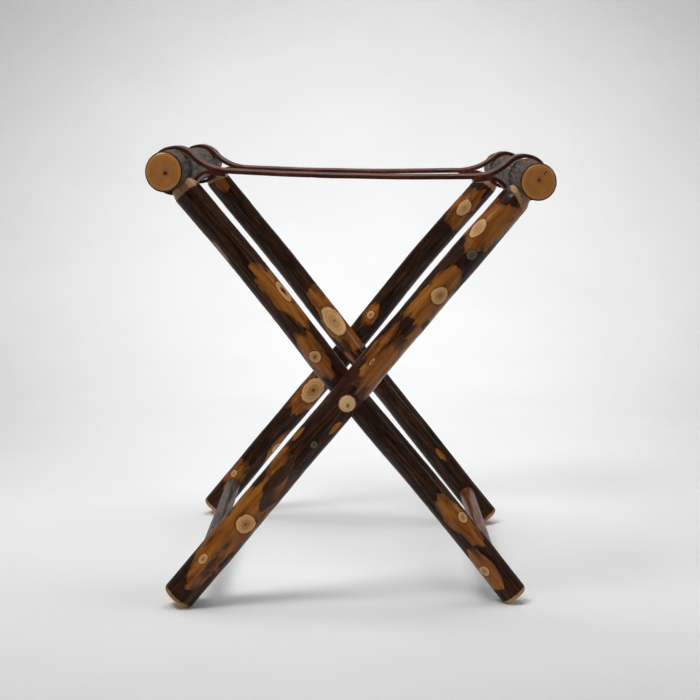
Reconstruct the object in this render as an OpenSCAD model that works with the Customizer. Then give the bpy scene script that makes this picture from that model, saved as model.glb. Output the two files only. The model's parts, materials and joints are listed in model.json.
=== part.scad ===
// Folding luggage rack: two frames of bark-on hickory poles that cross like scissors,
// with two leather straps looped round the top rails.
// Frame: X across the rack between the rails, Y along the rails, Z up, floor at Z = 0.
// Front is -Y. The outer frame carries the right rail, the inner frame carries the left rail.

/* [Overall] */
// Distance between the two rail axes when the rack is open
rail_spacing = 419.6; // [340:0.1:510]
// Height of the left rail's axis above the floor
left_rail_h = 512.6; // [420:0.1:615]
// Height of the right rail's axis above the floor
right_rail_h = 509.6; // [420:0.1:615]
// Distance between the axes of the two inner legs, along the rails
inner_leg_spacing = 391; // [325:1:470]

/* [Rails] */
// Diameter of the left rail
left_rail_d = 43; // [37:0.5:52]
// Diameter of the right rail
right_rail_d = 40; // [36:0.5:48]
// How far the left rail runs past the front inner leg's axis
left_front_overhang = 57; // [40:1:69]
// How far the left rail runs past the rear inner leg's axis
left_rear_overhang = 66; // [40:1:80]
// How far the right rail runs past the front outer leg's axis
right_front_overhang = 71; // [40:1:86]
// How far the right rail runs past the rear outer leg's axis
right_rear_overhang = 66; // [40:1:80]
// Radius worn on the edges of the rail ends
rail_edge = 4; // [2:0.5:6]

/* [Legs] */
// Outer front leg: diameter at the top and at the foot
outer_front_d = [36, 39.5];
// Outer rear leg: diameter at the top and at the foot
outer_rear_d = [32.5, 34];
// Inner front leg: diameter at the top and at the foot
inner_front_d = [34.2, 32.6];
// Inner rear leg: diameter at the top and at the foot
inner_rear_d = [31.4, 33];
// How far each foot stands in from the X of its own side's rail: outer front leg
outer_front_inset = 11.5; // [0:0.5:20]
// Outer rear leg's inset
outer_rear_inset = 10; // [0:0.5:20]
// Inner front leg's inset
inner_front_inset = 2.5; // [0:0.5:20]
// Inner rear leg's inset
inner_rear_inset = 9; // [0:0.5:20]
// Natural sweep of each sapling at a quarter, a half and three quarters of its length, upwards
outer_front_sweep = [1.6, 0.9, 0.3];
// Outer rear leg's sweep
outer_rear_sweep = [4.2, 0.6, 1.2];
// Inner front leg's sweep
inner_front_sweep = [2.4, -0.8, 1.6];
// Inner rear leg's sweep
inner_rear_sweep = [2.4, 1.2, 0.7];
// Radius worn on the edge of each foot
foot_edge = 5; // [3:0.5:7]
// Depth of the small flat that each foot has worn on the floor
foot_flat = 0.8; // [0.5:0.1:1.5]

/* [Joinery] */
// Diameter of the tenon on the top of each leg
leg_tenon_d = 24; // [18:0.5:26]
// How far a leg tenon runs past the rail's axis
leg_tenon_past = 6; // [2:0.5:9]
// Distance from the rail's axis to where the shaved shoulder reaches the leg's full diameter
shoulder_end = 36; // [32:1:46]
// Diameter of a stretcher
stretcher_d = 20; // [16:0.5:24]
// Diameter of a stretcher's tenons
stretcher_tenon_d = 15; // [11:0.5:15.5]
// Depth of a stretcher's tenon below the leg's crown
stretcher_tenon_len = 20; // [14:0.5:24]
// Depth that a stretcher's full diameter is let into the leg
stretcher_housing = 3; // [2.5:0.5:5]
// Height of the stretcher axes above the floor
stretcher_h = 46; // [40:1:70]
// Gap on the radius of every glued joint
glue_gap = 0.06; // [0.03:0.01:0.1]

/* [Pivot] */
// X of the pivot axis
pivot_x = 1.5; // [-4:0.5:6]
// Height of the pivot axis above the floor
pivot_h = 250; // [209:1:300]
// How far the holes are drilled below the point where the legs' centrelines cross
pivot_drop = 5.6; // [0:0.2:7]
// Diameter of the lag screw's shank
screw_d = 8; // [6:0.5:10]
// Width of the screw's hexagon head across its corners
screw_head_d = 14.8; // [12:0.2:16]
// Height of the screw's head
screw_head_h = 5.5; // [4:0.5:7]
// Depth of the screw in the inner leg
screw_grip = 25; // [18:1:27]
// Running clearance of the outer leg on the screw, on the radius
pivot_fit = 0.06; // [0.02:0.01:0.1]
// Diameter of the wooden plug over the screw's head
plug_d = 20; // [18.5:0.5:22]
// Depth from the leg's crown to the plug's inner face
plug_depth = 9; // [8:0.5:11]
// Outer diameter of the washer under the head
head_washer_d = 17.5; // [16:0.5:18]
// Thickness of the washer under the head
head_washer_t = 1.5; // [1:0.1:2]
// Outer diameter of the thrust washer between the legs
thrust_washer_d = 26; // [20:0.5:28]
// Thickness of the thrust washer
thrust_washer_t = 3; // [2.6:0.1:4]
// Depth of the flat cut in each leg for the thrust washer
spot_depth = 0.75; // [0.6:0.05:1.5]
// Gap on each side of a washer
washer_gap = 0.1; // [0.05:0.05:0.2]
// Gap round a screw inside a washer, on the radius
washer_bore_gap = 0.4; // [0.2:0.05:0.6]

/* [Straps] */
// Width of a strap
strap_w = 38; // [30:1:45]
// Thickness of the leather
strap_t = 4.4; // [3.5:0.1:5.3]
// Distance from an inner leg's axis to the near edge of its strap
strap_from_leg = 21; // [18:0.5:30]
// Looseness of the front strap's loops: how much larger than the rail their radius is
front_slack = 3; // [0.5:0.1:4]
// Looseness of the rear strap's loops
rear_slack = 0.5; // [0.4:0.1:4]
// Distance from the rail's axis to where the strap comes level
strap_level_at = 63.5; // [56:0.5:70]
// Height at which the front strap's left end comes level, above the left rail's axis
front_left_rise = 0.2; // [-6:0.1:4]
// The same at its right end, above the right rail's axis
front_right_rise = 0.3; // [-6:0.1:4]
// The rear strap's left end
rear_left_rise = -4.6; // [-6:0.1:4]
// The rear strap's right end
rear_right_rise = -1.6; // [-6:0.1:4]
// Sag of the front strap at the middle
front_strap_sag = 2.6; // [1:0.1:8]
// Sag of the rear strap at the middle
rear_strap_sag = 2.4; // [1:0.1:8]
// Length of the tail that is lapped under the strap
strap_lap = 15; // [12:0.5:17]
// Gap between the strap and its lapped tail
lap_gap = 0.15; // [0.1:0.05:0.4]
// Gap between a loop and the outboard side of its rail
rail_gap = 0.3; // [0.2:0.05:0.6]
// Distance left of the middle where the strap's bending part joins its left part
bend_len = 45; // [40:1:70]

/* [Rivets] */
// Diameter of a rivet's shank
rivet_d = 4; // [3:0.5:5]
// Diameter of a rivet's heads
rivet_head_d = 9; // [7:0.5:11]
// Height of a rivet's heads
rivet_head_h = 1.2; // [0.8:0.1:1.6]
// How deep the heads are set into the leather
rivet_sink = 0.6; // [0.3:0.1:0.9]
// Distance between a loop's two rivets, across the strap
rivet_spacing = 19; // [15:0.5:24]

/* [Hidden] */

// Fine enough for round faces, and the number of flats round a leg
$fn = 48;
leg_sides = 24;
leg_rings = 14;
arc_step = 9;

bark = "#3a2417";
grey_bark = "#6b625c";
pale_wood = "#c8a070";
leather = "#5a2416";
steel = "#8c8f92";
copper = "#a8683c";

left_x = -rail_spacing / 2;
right_x = rail_spacing / 2;
crossing = [pivot_x, pivot_h + pivot_drop];

// --- Places along Y, from the inner legs outwards ---
inner_front_y = -inner_leg_spacing / 2;
inner_rear_y = inner_leg_spacing / 2;
spot_gap = thrust_washer_t + 2 * washer_gap;

// A leg is [rail axis, foot X, [top radius, foot radius], sweep, Y]
outer_front = leg([right_x, right_rail_h], left_x + outer_front_inset, outer_front_d, outer_front_sweep,
                  inner_front_y - leg_pitch(inner_front_d, outer_front_d));
outer_rear = leg([right_x, right_rail_h], left_x + outer_rear_inset, outer_rear_d, outer_rear_sweep,
                 inner_rear_y + leg_pitch(inner_rear_d, outer_rear_d));
inner_front = leg([left_x, left_rail_h], right_x - inner_front_inset, inner_front_d, inner_front_sweep,
                  inner_front_y);
inner_rear = leg([left_x, left_rail_h], right_x - inner_rear_inset, inner_rear_d, inner_rear_sweep,
                 inner_rear_y);

// Distance between the axes of two legs that share a thrust washer between their flats
function leg_pitch(inner_d, outer_d) = mid_r(inner_d) + mid_r(outer_d) - 2 * spot_depth + spot_gap;
function mid_r(d) = (d[0] + d[1]) / 4;

// The foot's end is square to the leg, and its worn edge reaches foot_flat below the floor
function leg(top, foot_x, d, sweep, y) =
    let(tilt = atan2(abs(foot_x - crossing[0]), crossing[1]),
        foot_r = d[1] / 2,
        foot_z = (foot_r - foot_edge) * sin(tilt) + foot_edge * (1 - cos(tilt)) - foot_flat)
    [top, [foot_x, foot_z], [d[0] / 2, foot_r], sweep, y];
function leg_top(l) = l[0];
function leg_foot(l) = l[1];
function leg_radii(l) = l[2];
function leg_y(l) = l[4];
function leg_len(l) = norm(leg_foot(l) - leg_top(l));
function leg_mid_r(l) = (leg_radii(l)[0] + leg_radii(l)[1]) / 2;

// Smooth curve through the sweeps at the quarters of the leg's length
function sweep_knot(w, i) = i <= 0 || i >= 4 ? 0 : w[i - 1];
function sweep_slope(w, i) =
    (sweep_knot(w, min(4, i + 1)) - sweep_knot(w, max(0, i - 1))) / (i <= 0 || i >= 4 ? 1 : 2);
function sweep_at(w, s) =
    let(i = max(0, min(3, floor(s * 4))), f = s * 4 - i)
    sweep_knot(w, i) * (1 + 2 * f) * pow(1 - f, 2) + sweep_slope(w, i) * f * pow(1 - f, 2)
    + sweep_knot(w, i + 1) * f * f * (3 - 2 * f) + sweep_slope(w, i + 1) * f * f * (f - 1);

// Centreline of a leg in the XZ plane, s from 0 at the rail's axis to 1 at the foot
function along(l, s) =
    let(d = leg_foot(l) - leg_top(l), n = unit([-d[1], d[0]]), up = n[1] < 0 ? -n : n)
    leg_top(l) + d * s + up * sweep_at(l[3], s);
function unit(v) = v / norm(v);
function heading(l, s) = unit(along(l, min(1, s + 0.01)) - along(l, max(0, s - 0.01)));
// The share of the leg's length at which its centreline has a given height
function share_at_h(l, h) = (leg_top(l)[1] - h) / (leg_top(l)[1] - leg_foot(l)[1]);
function radius_at(l, s) = leg_radii(l)[0] + (leg_radii(l)[1] - leg_radii(l)[0]) * s;
// The tenon's heading, the same for the tenon and for the rail's socket
function tenon_heading(l) = heading(l, shoulder_end / leg_len(l));
function tilt_of(v) = atan2(v[0], v[1]);

function rail_r_of(l) = leg_top(l)[0] < 0 ? left_rail_d / 2 : right_rail_d / 2;
rail_clearance = 0.3;
tenon_overlap = 10;
neck_collar = 1;
shoulder_rise = 2.5;
function shoulder_start(l) = rail_r_of(l) + rail_clearance;

// Rings of a leg from its shaved shoulder to its worn foot: [share of length, radius]
function leg_profile(l) =
    let(n = leg_len(l), r1 = leg_tenon_d / 2 + neck_collar, a = shoulder_end / n, b = 1 - foot_edge / n)
    concat(
        [[shoulder_start(l) / n, r1], [(shoulder_end - shoulder_rise) / n, radius_at(l, a) - neck_collar]],
        [for (i = [0 : leg_rings]) let(s = a + (b - a) * i / leg_rings) [s, radius_at(l, s)]],
        [for (q = [30 : 30 : 90]) [b + foot_edge * sin(q) / n, leg_radii(l)[1] - foot_edge * (1 - cos(q))]]
    );

module leg_body(l) {
    rings = leg_profile(l);
    points = [for (ring = rings) let(c = along(l, ring[0]), h = heading(l, ring[0]), n = [-h[1], h[0]])
        for (k = [0 : leg_sides - 1]) let(a = 360 * k / leg_sides)
            [c[0] + n[0] * ring[1] * cos(a), leg_y(l) + ring[1] * sin(a), c[1] + n[1] * ring[1] * cos(a)]];
    last = len(rings) - 1;
    sides = [for (i = [0 : last - 1]) for (k = [0 : leg_sides - 1])
        let(a = i * leg_sides + k, b = i * leg_sides + (k + 1) % leg_sides)
            each [[a, b, b + leg_sides], [a, b + leg_sides, a + leg_sides]]];
    caps = [[for (k = [leg_sides - 1 : -1 : 0]) k], [for (k = [0 : leg_sides - 1]) last * leg_sides + k]];
    polyhedron(points, concat(sides, caps));
}

// A cylinder from the rail's axis along the leg, for the tenon and its socket
module leg_tenon(l, r, from, to) {
    t = leg_top(l);
    translate([t[0], leg_y(l), t[1]])
        rotate([0, tilt_of(tenon_heading(l)), 0])
            translate([0, 0, from])
                cylinder(r = r, h = to - from);
}

// A cylinder along Y between two places
module along_y(x, z, y0, y1, r) {
    translate([x, min(y0, y1), z])
        rotate([-90, 0, 0])
            cylinder(r = r, h = abs(y1 - y0));
}

// --- Pivot: places along Y, measured outwards (side is -1 at the front and 1 at the rear) ---
function side_of(l) = leg_y(l) < 0 ? -1 : 1;
function crown(l) = leg_y(l) + side_of(l) * leg_mid_r(l);
function outer_spot(l) = leg_y(l) - side_of(l) * (leg_mid_r(l) - spot_depth);
function inner_spot(l) = leg_y(l) + side_of(l) * (leg_mid_r(l) - spot_depth);
function plug_floor(l) = crown(l) - side_of(l) * plug_depth;
// Room above the screw's head, under the plug
head_room = 0.5;
counterbore_past_plug = head_room + screw_head_h + head_washer_t + washer_gap;
function counterbore_floor(l) = plug_floor(l) - side_of(l) * counterbore_past_plug;
past_wood = 30;
drill_past = 1;
washer_room = 1;

// --- Stretchers: they run between the centrelines of a frame's two legs ---
function stretcher_point(l) =
    let(p = along(l, share_at_h(l, stretcher_h)))
    [p[0], leg_y(l), p[1]];
function toward(a, b) = unit(b - a);

module rod(a, b, r) {
    d = b - a;
    translate(a)
        rotate([0, acos(d[2] / norm(d)), atan2(d[1], d[0])])
            cylinder(r = r, h = norm(d));
}

// The housing and the mortise that a stretcher's end is glued in
module stretcher_mortise(l, other) {
    c = stretcher_point(l);
    d = toward(c, stretcher_point(other));
    r = radius_at(l, share_at_h(l, stretcher_h));
    rod(c + d * (r - stretcher_housing), c + d * (r + past_wood), stretcher_d / 2 + glue_gap);
    rod(c + d * (r - stretcher_tenon_len - glue_gap), c + d * (r + past_wood),
        stretcher_tenon_d / 2 + glue_gap);
}

module floor_cut() {
    translate([-rail_spacing, -inner_leg_spacing, -2 * past_wood])
        cube([2 * rail_spacing, 2 * inner_leg_spacing, 2 * past_wood]);
}

module whole_leg(l) {
    leg_body(l);
    leg_tenon(l, leg_tenon_d / 2, -leg_tenon_past, shoulder_start(l) + tenon_overlap);
}

// The outer legs turn on the screws, whose heads are sunk under the plugs
module outer_leg(l, other) {
    difference() {
        whole_leg(l);
        along_y(pivot_x, pivot_h, counterbore_floor(l), outer_spot(l), screw_d / 2 + pivot_fit);
        along_y(pivot_x, pivot_h, counterbore_floor(l), crown(l) + side_of(l) * past_wood,
                plug_d / 2 + glue_gap);
        along_y(pivot_x, pivot_h, outer_spot(l), outer_spot(l) - side_of(l) * past_wood,
                thrust_washer_d / 2 + washer_room);
        stretcher_mortise(l, other);
        floor_cut();
    }
}

// The screws are driven into the inner legs
module inner_leg(l, other) {
    difference() {
        whole_leg(l);
        along_y(pivot_x, pivot_h, inner_spot(l), inner_spot(l) - side_of(l) * (screw_grip + drill_past),
                screw_d / 2 + glue_gap);
        along_y(pivot_x, pivot_h, inner_spot(l), inner_spot(l) + side_of(l) * past_wood,
                thrust_washer_d / 2 + washer_room);
        stretcher_mortise(l, other);
        floor_cut();
    }
}

module outer_front_leg() {
    color(bark) outer_leg(outer_front, outer_rear);
}

module outer_rear_leg() {
    color(bark) outer_leg(outer_rear, outer_front);
}

module inner_front_leg() {
    color(bark) inner_leg(inner_front, inner_rear);
}

module inner_rear_leg() {
    color(bark) inner_leg(inner_rear, inner_front);
}

// A pole along Y with worn end edges
module pole(r, y0, y1) {
    h = y1 - y0;
    bottom = [for (q = [0 : 15 : 90]) [r - rail_edge * (1 - sin(q)), rail_edge * (1 - cos(q))]];
    top = [for (q = [90 : -15 : 0]) [r - rail_edge * (1 - sin(q)), h - rail_edge * (1 - cos(q))]];
    translate([0, y0, 0])
        rotate([-90, 0, 0])
            rotate_extrude()
                polygon(concat([[0, 0]], bottom, top, [[0, h]]));
}

module rail(x, z, r, legs, front_overhang, rear_overhang) {
    difference() {
        translate([x, 0, z])
            pole(r, leg_y(legs[0]) - front_overhang, leg_y(legs[1]) + rear_overhang);
        for (l = legs)
            leg_tenon(l, leg_tenon_d / 2 + glue_gap, -leg_tenon_past - drill_past, r + past_wood);
    }
}

module left_rail() {
    color(grey_bark)
        rail(left_x, left_rail_h, left_rail_d / 2, [inner_front, inner_rear],
             left_front_overhang, left_rear_overhang);
}

module right_rail() {
    color(grey_bark)
        rail(right_x, right_rail_h, right_rail_d / 2, [outer_front, outer_rear],
             right_front_overhang, right_rear_overhang);
}

module stretcher(front, rear) {
    a = stretcher_point(front);
    b = stretcher_point(rear);
    d = toward(a, b);
    ra = radius_at(front, share_at_h(front, stretcher_h));
    rb = radius_at(rear, share_at_h(rear, stretcher_h));
    rod(a + d * (ra - stretcher_housing + glue_gap), b - d * (rb - stretcher_housing + glue_gap),
        stretcher_d / 2);
    rod(a + d * (ra - stretcher_tenon_len), b - d * (rb - stretcher_tenon_len), stretcher_tenon_d / 2);
}

module left_stretcher() {
    color(grey_bark) stretcher(outer_front, outer_rear);
}

module right_stretcher() {
    color(grey_bark) stretcher(inner_front, inner_rear);
}

// --- Pivot hardware ---
module lag_screw(outer, inner) {
    side = side_of(outer);
    under_head = counterbore_floor(outer) + side * (head_washer_t + washer_gap);
    tip = inner_spot(inner) - side * screw_grip;
    point_len = screw_d / 2;
    along_y(pivot_x, pivot_h, under_head, tip + side * point_len, screw_d / 2);
    translate([pivot_x, tip + side * point_len, pivot_h])
        rotate([side * 90, 0, 0])
            cylinder(r1 = screw_d / 2, r2 = screw_d / 8, h = point_len);
    translate([pivot_x, min(under_head, under_head + side * screw_head_h), pivot_h])
        rotate([-90, 0, 0])
            cylinder(d = screw_head_d, h = screw_head_h, $fn = 6);
}

module pivot_screws() {
    color(steel) {
        lag_screw(outer_front, inner_front);
        lag_screw(outer_rear, inner_rear);
    }
}

module washer(y, side, t, d) {
    difference() {
        along_y(pivot_x, pivot_h, y, y + side * t, d / 2);
        along_y(pivot_x, pivot_h, y - side, y + side * (t + 1), screw_d / 2 + washer_bore_gap);
    }
}

module head_washers() {
    color(steel)
        for (l = [outer_front, outer_rear])
            washer(counterbore_floor(l), side_of(l), head_washer_t, head_washer_d);
}

module thrust_washers() {
    color(steel)
        for (l = [inner_front, inner_rear])
            washer(inner_spot(l) + side_of(l) * washer_gap, side_of(l), thrust_washer_t, thrust_washer_d);
}

// A plug follows the roundness of its leg and stands a little proud of the bark
plug_proud = 0.4;
module plug(l) {
    s = share_at_h(l, pivot_h);
    c = along(l, s);
    intersection() {
        along_y(pivot_x, pivot_h, plug_floor(l), crown(l) + side_of(l) * past_wood, plug_d / 2);
        translate([c[0], leg_y(l), c[1]])
            rotate([0, tilt_of(heading(l, s)), 0])
                cylinder(r = radius_at(l, s) + plug_proud, h = 4 * plug_d, center = true);
    }
}

module front_pivot_plug() {
    color(pale_wood) plug(outer_front);
}

module rear_pivot_plug() {
    color(pale_wood) plug(outer_rear);
}

// --- Straps: outlines in the XZ plane, swept along Y by the strap's width ---
// A strap is [slack, heights of its level ends, sag, first Y]
front_strap = [front_slack, [left_rail_h + front_left_rise, right_rail_h + front_right_rise],
               front_strap_sag, inner_front_y + strap_from_leg];
rear_strap = [rear_slack, [left_rail_h + rear_left_rise, right_rail_h + rear_right_rise],
              rear_strap_sag, inner_rear_y - strap_from_leg - strap_w];
left_level_x = left_x + strap_level_at;
right_level_x = right_x - strap_level_at;
level_span = right_level_x - left_level_x;

// A strap's sagging stretch between the loops: its share, height and slope, and a place off its centreline
function span_share(x) = (x - left_level_x) / level_span;
function height_at(st, x) =
    let(f = span_share(x))
    st[1][0] * (1 - f) + st[1][1] * f - 4 * st[2] * f * (1 - f);
function slope_at(st, x) =
    atan((st[1][1] - st[1][0] - 4 * st[2] * (1 - 2 * span_share(x))) / level_span);
function strap_side(st, x, off) =
    [x - off * sin(slope_at(st, x)), height_at(st, x) + off * cos(slope_at(st, x))];

function arc(c, r, a0, a1) =
    let(n = max(2, ceil(abs(a1 - a0) / arc_step)))
    [for (i = [0 : n]) let(a = a0 + (a1 - a0) * i / n) c + r * [cos(a), sin(a)]];
function angle_of(v) = atan2(v[1], v[0]);
// Radius of the arc that leaves point p square to direction n and meets the circle of radius r about the origin
function blend_r(p, n, r) = (p * p - r * r) / (2 * (r - p * n));

// A loop about its own middle, X inboard: [its radius, centre and radius of the upper curve,
// centre and radius of the lower curve, radius and end angle of the lapped tail, slope of the strap]
function loop_of(st, rail_r, rise, slope) =
    let(r = rail_r + rail_gap + st[0] + strap_t / 2,
        p = [strap_level_at - st[0], rise],
        up = [-sin(slope), cos(slope)],
        r2 = blend_r(p, up, r),
        c2 = p + r2 * up,
        rt = r2 + strap_t + lap_gap,
        lap = slope - 90 - strap_lap / rt * 180 / PI,
        k = [cos(lap), sin(lap)],
        q = c2 + rt * k,
        r3 = blend_r(q, k, r),
        c3 = q + r3 * k)
    [r, c2, r2, c3, r3, rt, lap, slope];

// One side of the loop's leather, from the tail's cut end round the rail to the level strap
function loop_side(g, off) = concat(
    arc(g[1], g[5] + off, g[7] - 90, g[6]),
    arc(g[3], g[4] - off, g[6] + 180, angle_of(-g[3])),
    arc([0, 0], g[0] + off, angle_of(g[3]) + 360, angle_of(g[1])),
    arc(g[1], g[2] - off, angle_of(-g[1]), g[7] - 90)
);

function left_loop(st) = loop_of(st, left_rail_d / 2, st[1][0] - left_rail_h, slope_at(st, left_level_x));
function right_loop(st) = loop_of(st, right_rail_d / 2, st[1][1] - right_rail_h, -slope_at(st, right_level_x));
// From a loop's own frame to the rack's: the loop hangs on the outboard side of its rail
function on_left(st, p) = [left_x + st[0] + p[0], left_rail_h + p[1]];
function on_right(st, p) = [right_x - st[0] - p[0], right_rail_h + p[1]];

span_steps = 10;
bend_x = 0;
seam_x = bend_x - bend_len;
function span_side(st, x0, x1, off) =
    [for (i = [1 : span_steps]) strap_side(st, x0 + (x1 - x0) * i / span_steps, off)];
function backwards(v) = [for (i = [len(v) - 1 : -1 : 0]) v[i]];

module strap_band(st, upper, lower) {
    translate([0, st[3] + strap_w, 0])
        rotate([90, 0, 0])
            linear_extrude(strap_w)
                polygon(concat(upper, backwards(lower)));
}

// The outlines of a strap's left part, right part and middle, at an offset from the centreline
function left_outline(st, off) =
    concat([for (p = loop_side(left_loop(st), off)) on_left(st, p)],
           span_side(st, left_level_x, seam_x, off));
function right_outline(st, off) =
    concat([for (p = loop_side(right_loop(st), off)) on_right(st, p)],
           span_side(st, right_level_x, bend_x, off));
function middle_outline(st, off) =
    concat([strap_side(st, seam_x, off)], span_side(st, seam_x, bend_x, off));

module strap_left(st) {
    difference() {
        strap_band(st, left_outline(st, strap_t / 2), left_outline(st, -strap_t / 2));
        left_rivets(st, glue_gap);
    }
}

module strap_right(st) {
    difference() {
        strap_band(st, right_outline(st, strap_t / 2), right_outline(st, -strap_t / 2));
        right_rivets(st, glue_gap);
    }
}

module strap_middle(st) {
    strap_band(st, middle_outline(st, strap_t / 2), middle_outline(st, -strap_t / 2));
}

module front_strap_left() {
    color(leather) strap_left(front_strap);
}

module front_strap_middle() {
    color(leather) strap_middle(front_strap);
}

module front_strap_right() {
    color(leather) strap_right(front_strap);
}

module rear_strap_left() {
    color(leather) strap_left(rear_strap);
}

module rear_strap_middle() {
    color(leather) strap_middle(rear_strap);
}

module rear_strap_right() {
    color(leather) strap_right(rear_strap);
}

// A rivet on Z through both layers, its middle at the lap; grow widens it and clears its seats in the leather
module rivet(grow) {
    grip = strap_t + lap_gap / 2 - rivet_sink;
    seat = grow > 0 ? past_wood : 0;
    cylinder(r = rivet_d / 2 + grow, h = 2 * grip, center = true);
    for (m = [0, 1])
        mirror([0, 0, m])
            translate([0, 0, grip - grow]) {
                cylinder(d = rivet_head_d + 2 * grow, h = rivet_head_h / 2 + seat);
                translate([0, 0, rivet_head_h / 2])
                    cylinder(r1 = rivet_head_d / 2, r2 = rivet_head_d / 3, h = rivet_head_h / 2);
            }
}

// Where a loop's rivets stand, in its own frame, and the angle of their axis
function rivet_angle(g) = (g[7] - 90 + g[6]) / 2;
function rivet_point(g) = g[1] + (g[2] + (strap_t + lap_gap) / 2) * [cos(rivet_angle(g)), sin(rivet_angle(g))];

module rivet_pair(st, c, turn, grow) {
    for (s = [-1, 1])
        translate([c[0], st[3] + strap_w / 2 + s * rivet_spacing / 2, c[1]])
            rotate([0, turn, 0])
                rivet(grow);
}

module left_rivets(st, grow) {
    g = left_loop(st);
    rivet_pair(st, on_left(st, rivet_point(g)), -90 - rivet_angle(g), grow);
}

module right_rivets(st, grow) {
    g = right_loop(st);
    rivet_pair(st, on_right(st, rivet_point(g)), 90 + rivet_angle(g), grow);
}

module front_left_rivets() {
    color(copper) left_rivets(front_strap, 0);
}

module front_right_rivets() {
    color(copper) right_rivets(front_strap, 0);
}

module rear_left_rivets() {
    color(copper) left_rivets(rear_strap, 0);
}

module rear_right_rivets() {
    color(copper) right_rivets(rear_strap, 0);
}

left_rail();
right_rail();
outer_front_leg();
outer_rear_leg();
inner_front_leg();
inner_rear_leg();
left_stretcher();
right_stretcher();
pivot_screws();
head_washers();
thrust_washers();
front_pivot_plug();
rear_pivot_plug();
front_strap_left();
front_strap_middle();
front_strap_right();
rear_strap_left();
rear_strap_middle();
rear_strap_right();
front_left_rivets();
front_right_rivets();
rear_left_rivets();
rear_right_rivets();
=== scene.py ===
"""Looks of a folding luggage rack made of bark-on hickory poles and leather straps.

Every wooden piece is grown from a straight pole that is shaped, given its bark and knots and then
laid along the centreline of the solid that it stands for. Lengths are metres unless a name says mm.
"""

import json
import logging
import math
from dataclasses import dataclass, field
from enum import Enum
from typing import Callable, Iterable, Optional, Sequence, Union

import bpy
import numpy as np
from mathutils import Matrix, Vector, noise

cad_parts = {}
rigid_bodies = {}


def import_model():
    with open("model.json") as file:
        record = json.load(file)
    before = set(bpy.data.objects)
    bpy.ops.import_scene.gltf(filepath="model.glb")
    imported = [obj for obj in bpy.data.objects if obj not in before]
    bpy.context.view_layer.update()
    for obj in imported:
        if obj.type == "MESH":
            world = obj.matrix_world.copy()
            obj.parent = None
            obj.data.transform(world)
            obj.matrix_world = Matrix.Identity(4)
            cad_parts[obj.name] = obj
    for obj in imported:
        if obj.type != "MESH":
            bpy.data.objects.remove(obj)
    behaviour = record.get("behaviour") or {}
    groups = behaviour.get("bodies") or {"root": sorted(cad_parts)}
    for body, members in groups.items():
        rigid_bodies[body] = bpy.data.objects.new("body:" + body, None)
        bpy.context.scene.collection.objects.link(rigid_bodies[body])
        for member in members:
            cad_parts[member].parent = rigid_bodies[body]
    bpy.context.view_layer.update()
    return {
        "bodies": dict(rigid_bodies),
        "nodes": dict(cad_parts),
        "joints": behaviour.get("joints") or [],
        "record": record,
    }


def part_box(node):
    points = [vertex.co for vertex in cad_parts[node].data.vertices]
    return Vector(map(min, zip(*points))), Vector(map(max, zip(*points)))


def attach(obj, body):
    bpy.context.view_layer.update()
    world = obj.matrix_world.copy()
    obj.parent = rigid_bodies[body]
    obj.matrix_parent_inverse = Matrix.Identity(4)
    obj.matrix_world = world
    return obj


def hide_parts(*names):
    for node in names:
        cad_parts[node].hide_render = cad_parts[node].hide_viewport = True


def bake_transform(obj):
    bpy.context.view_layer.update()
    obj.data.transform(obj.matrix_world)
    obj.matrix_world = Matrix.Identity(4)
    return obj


LOG = logging.getLogger("rack")
MM = 0.001
TAU = 2 * math.pi

Value = Union[float, Sequence[float], bpy.types.NodeSocket]


# ----------------------------------------------------------------------------------------------
# Colours and finishes
# ----------------------------------------------------------------------------------------------


def linear(code: str) -> tuple[float, float, float, float]:
    """Turn an sRGB hex colour into linear RGBA.

    Args:
        code: Six hex digits, such as "#3a2417".

    Returns:
        The colour as linear light with full alpha.
    """
    raw = [int(code[i : i + 2], 16) / 255 for i in (1, 3, 5)]
    rgb = [c / 12.92 if c <= 0.04045 else ((c + 0.055) / 1.055) ** 2.4 for c in raw]
    return (rgb[0], rgb[1], rgb[2], 1.0)


class Slot(Enum):
    """The record's material slots."""

    BARK = "bark_pole"
    RAIL = "rail_bark"
    STRETCHER = "stretcher_bark"
    PLUG = "plug_wood"
    LEATHER = "strap_leather"
    STEEL = "zinc_steel"
    COPPER = "rivet_copper"


class KnotKind(Enum):
    """How a knot in the wood looks."""

    RINGED = "ringed"
    PALE = "pale"
    SLIT = "slit"
    GREY = "grey"


@dataclass(frozen=True)
class KnotFinish:
    """Colours of a knot from its pith outwards."""

    pith: str
    heart: str
    ring: str
    wood: str
    rim: str
    pith_share: float


KNOTS = {
    KnotKind.RINGED: KnotFinish("#4a2410", "#a06b3a", "#b07c48", "#cb9b67", "#85532a", 0.06),
    KnotKind.PALE: KnotFinish("#6d4220", "#b78752", "#b98a57", "#cea170", "#8b5b2f", 0.03),
    KnotKind.SLIT: KnotFinish("#120905", "#6f421d", "#a87643", "#c4935d", "#5a3418", 0.22),
    KnotKind.GREY: KnotFinish("#3d3a2c", "#57523d", "#47432f", "#625c45", "#1c130c", 0.10),
}


@dataclass(frozen=True)
class BarkFinish:
    """Colours and sheen of a pole's bark, of the wood that is shaved bare and of its cut ends."""

    dark: str
    mid: str
    light: str
    tint: str
    fleck: str
    fleck_amount: float
    amber_dark: str
    amber: str
    amber_light: str
    residue: str
    bare_dark: str
    bare_light: str
    roughness: float
    coat: float
    relief_mm: float


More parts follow.
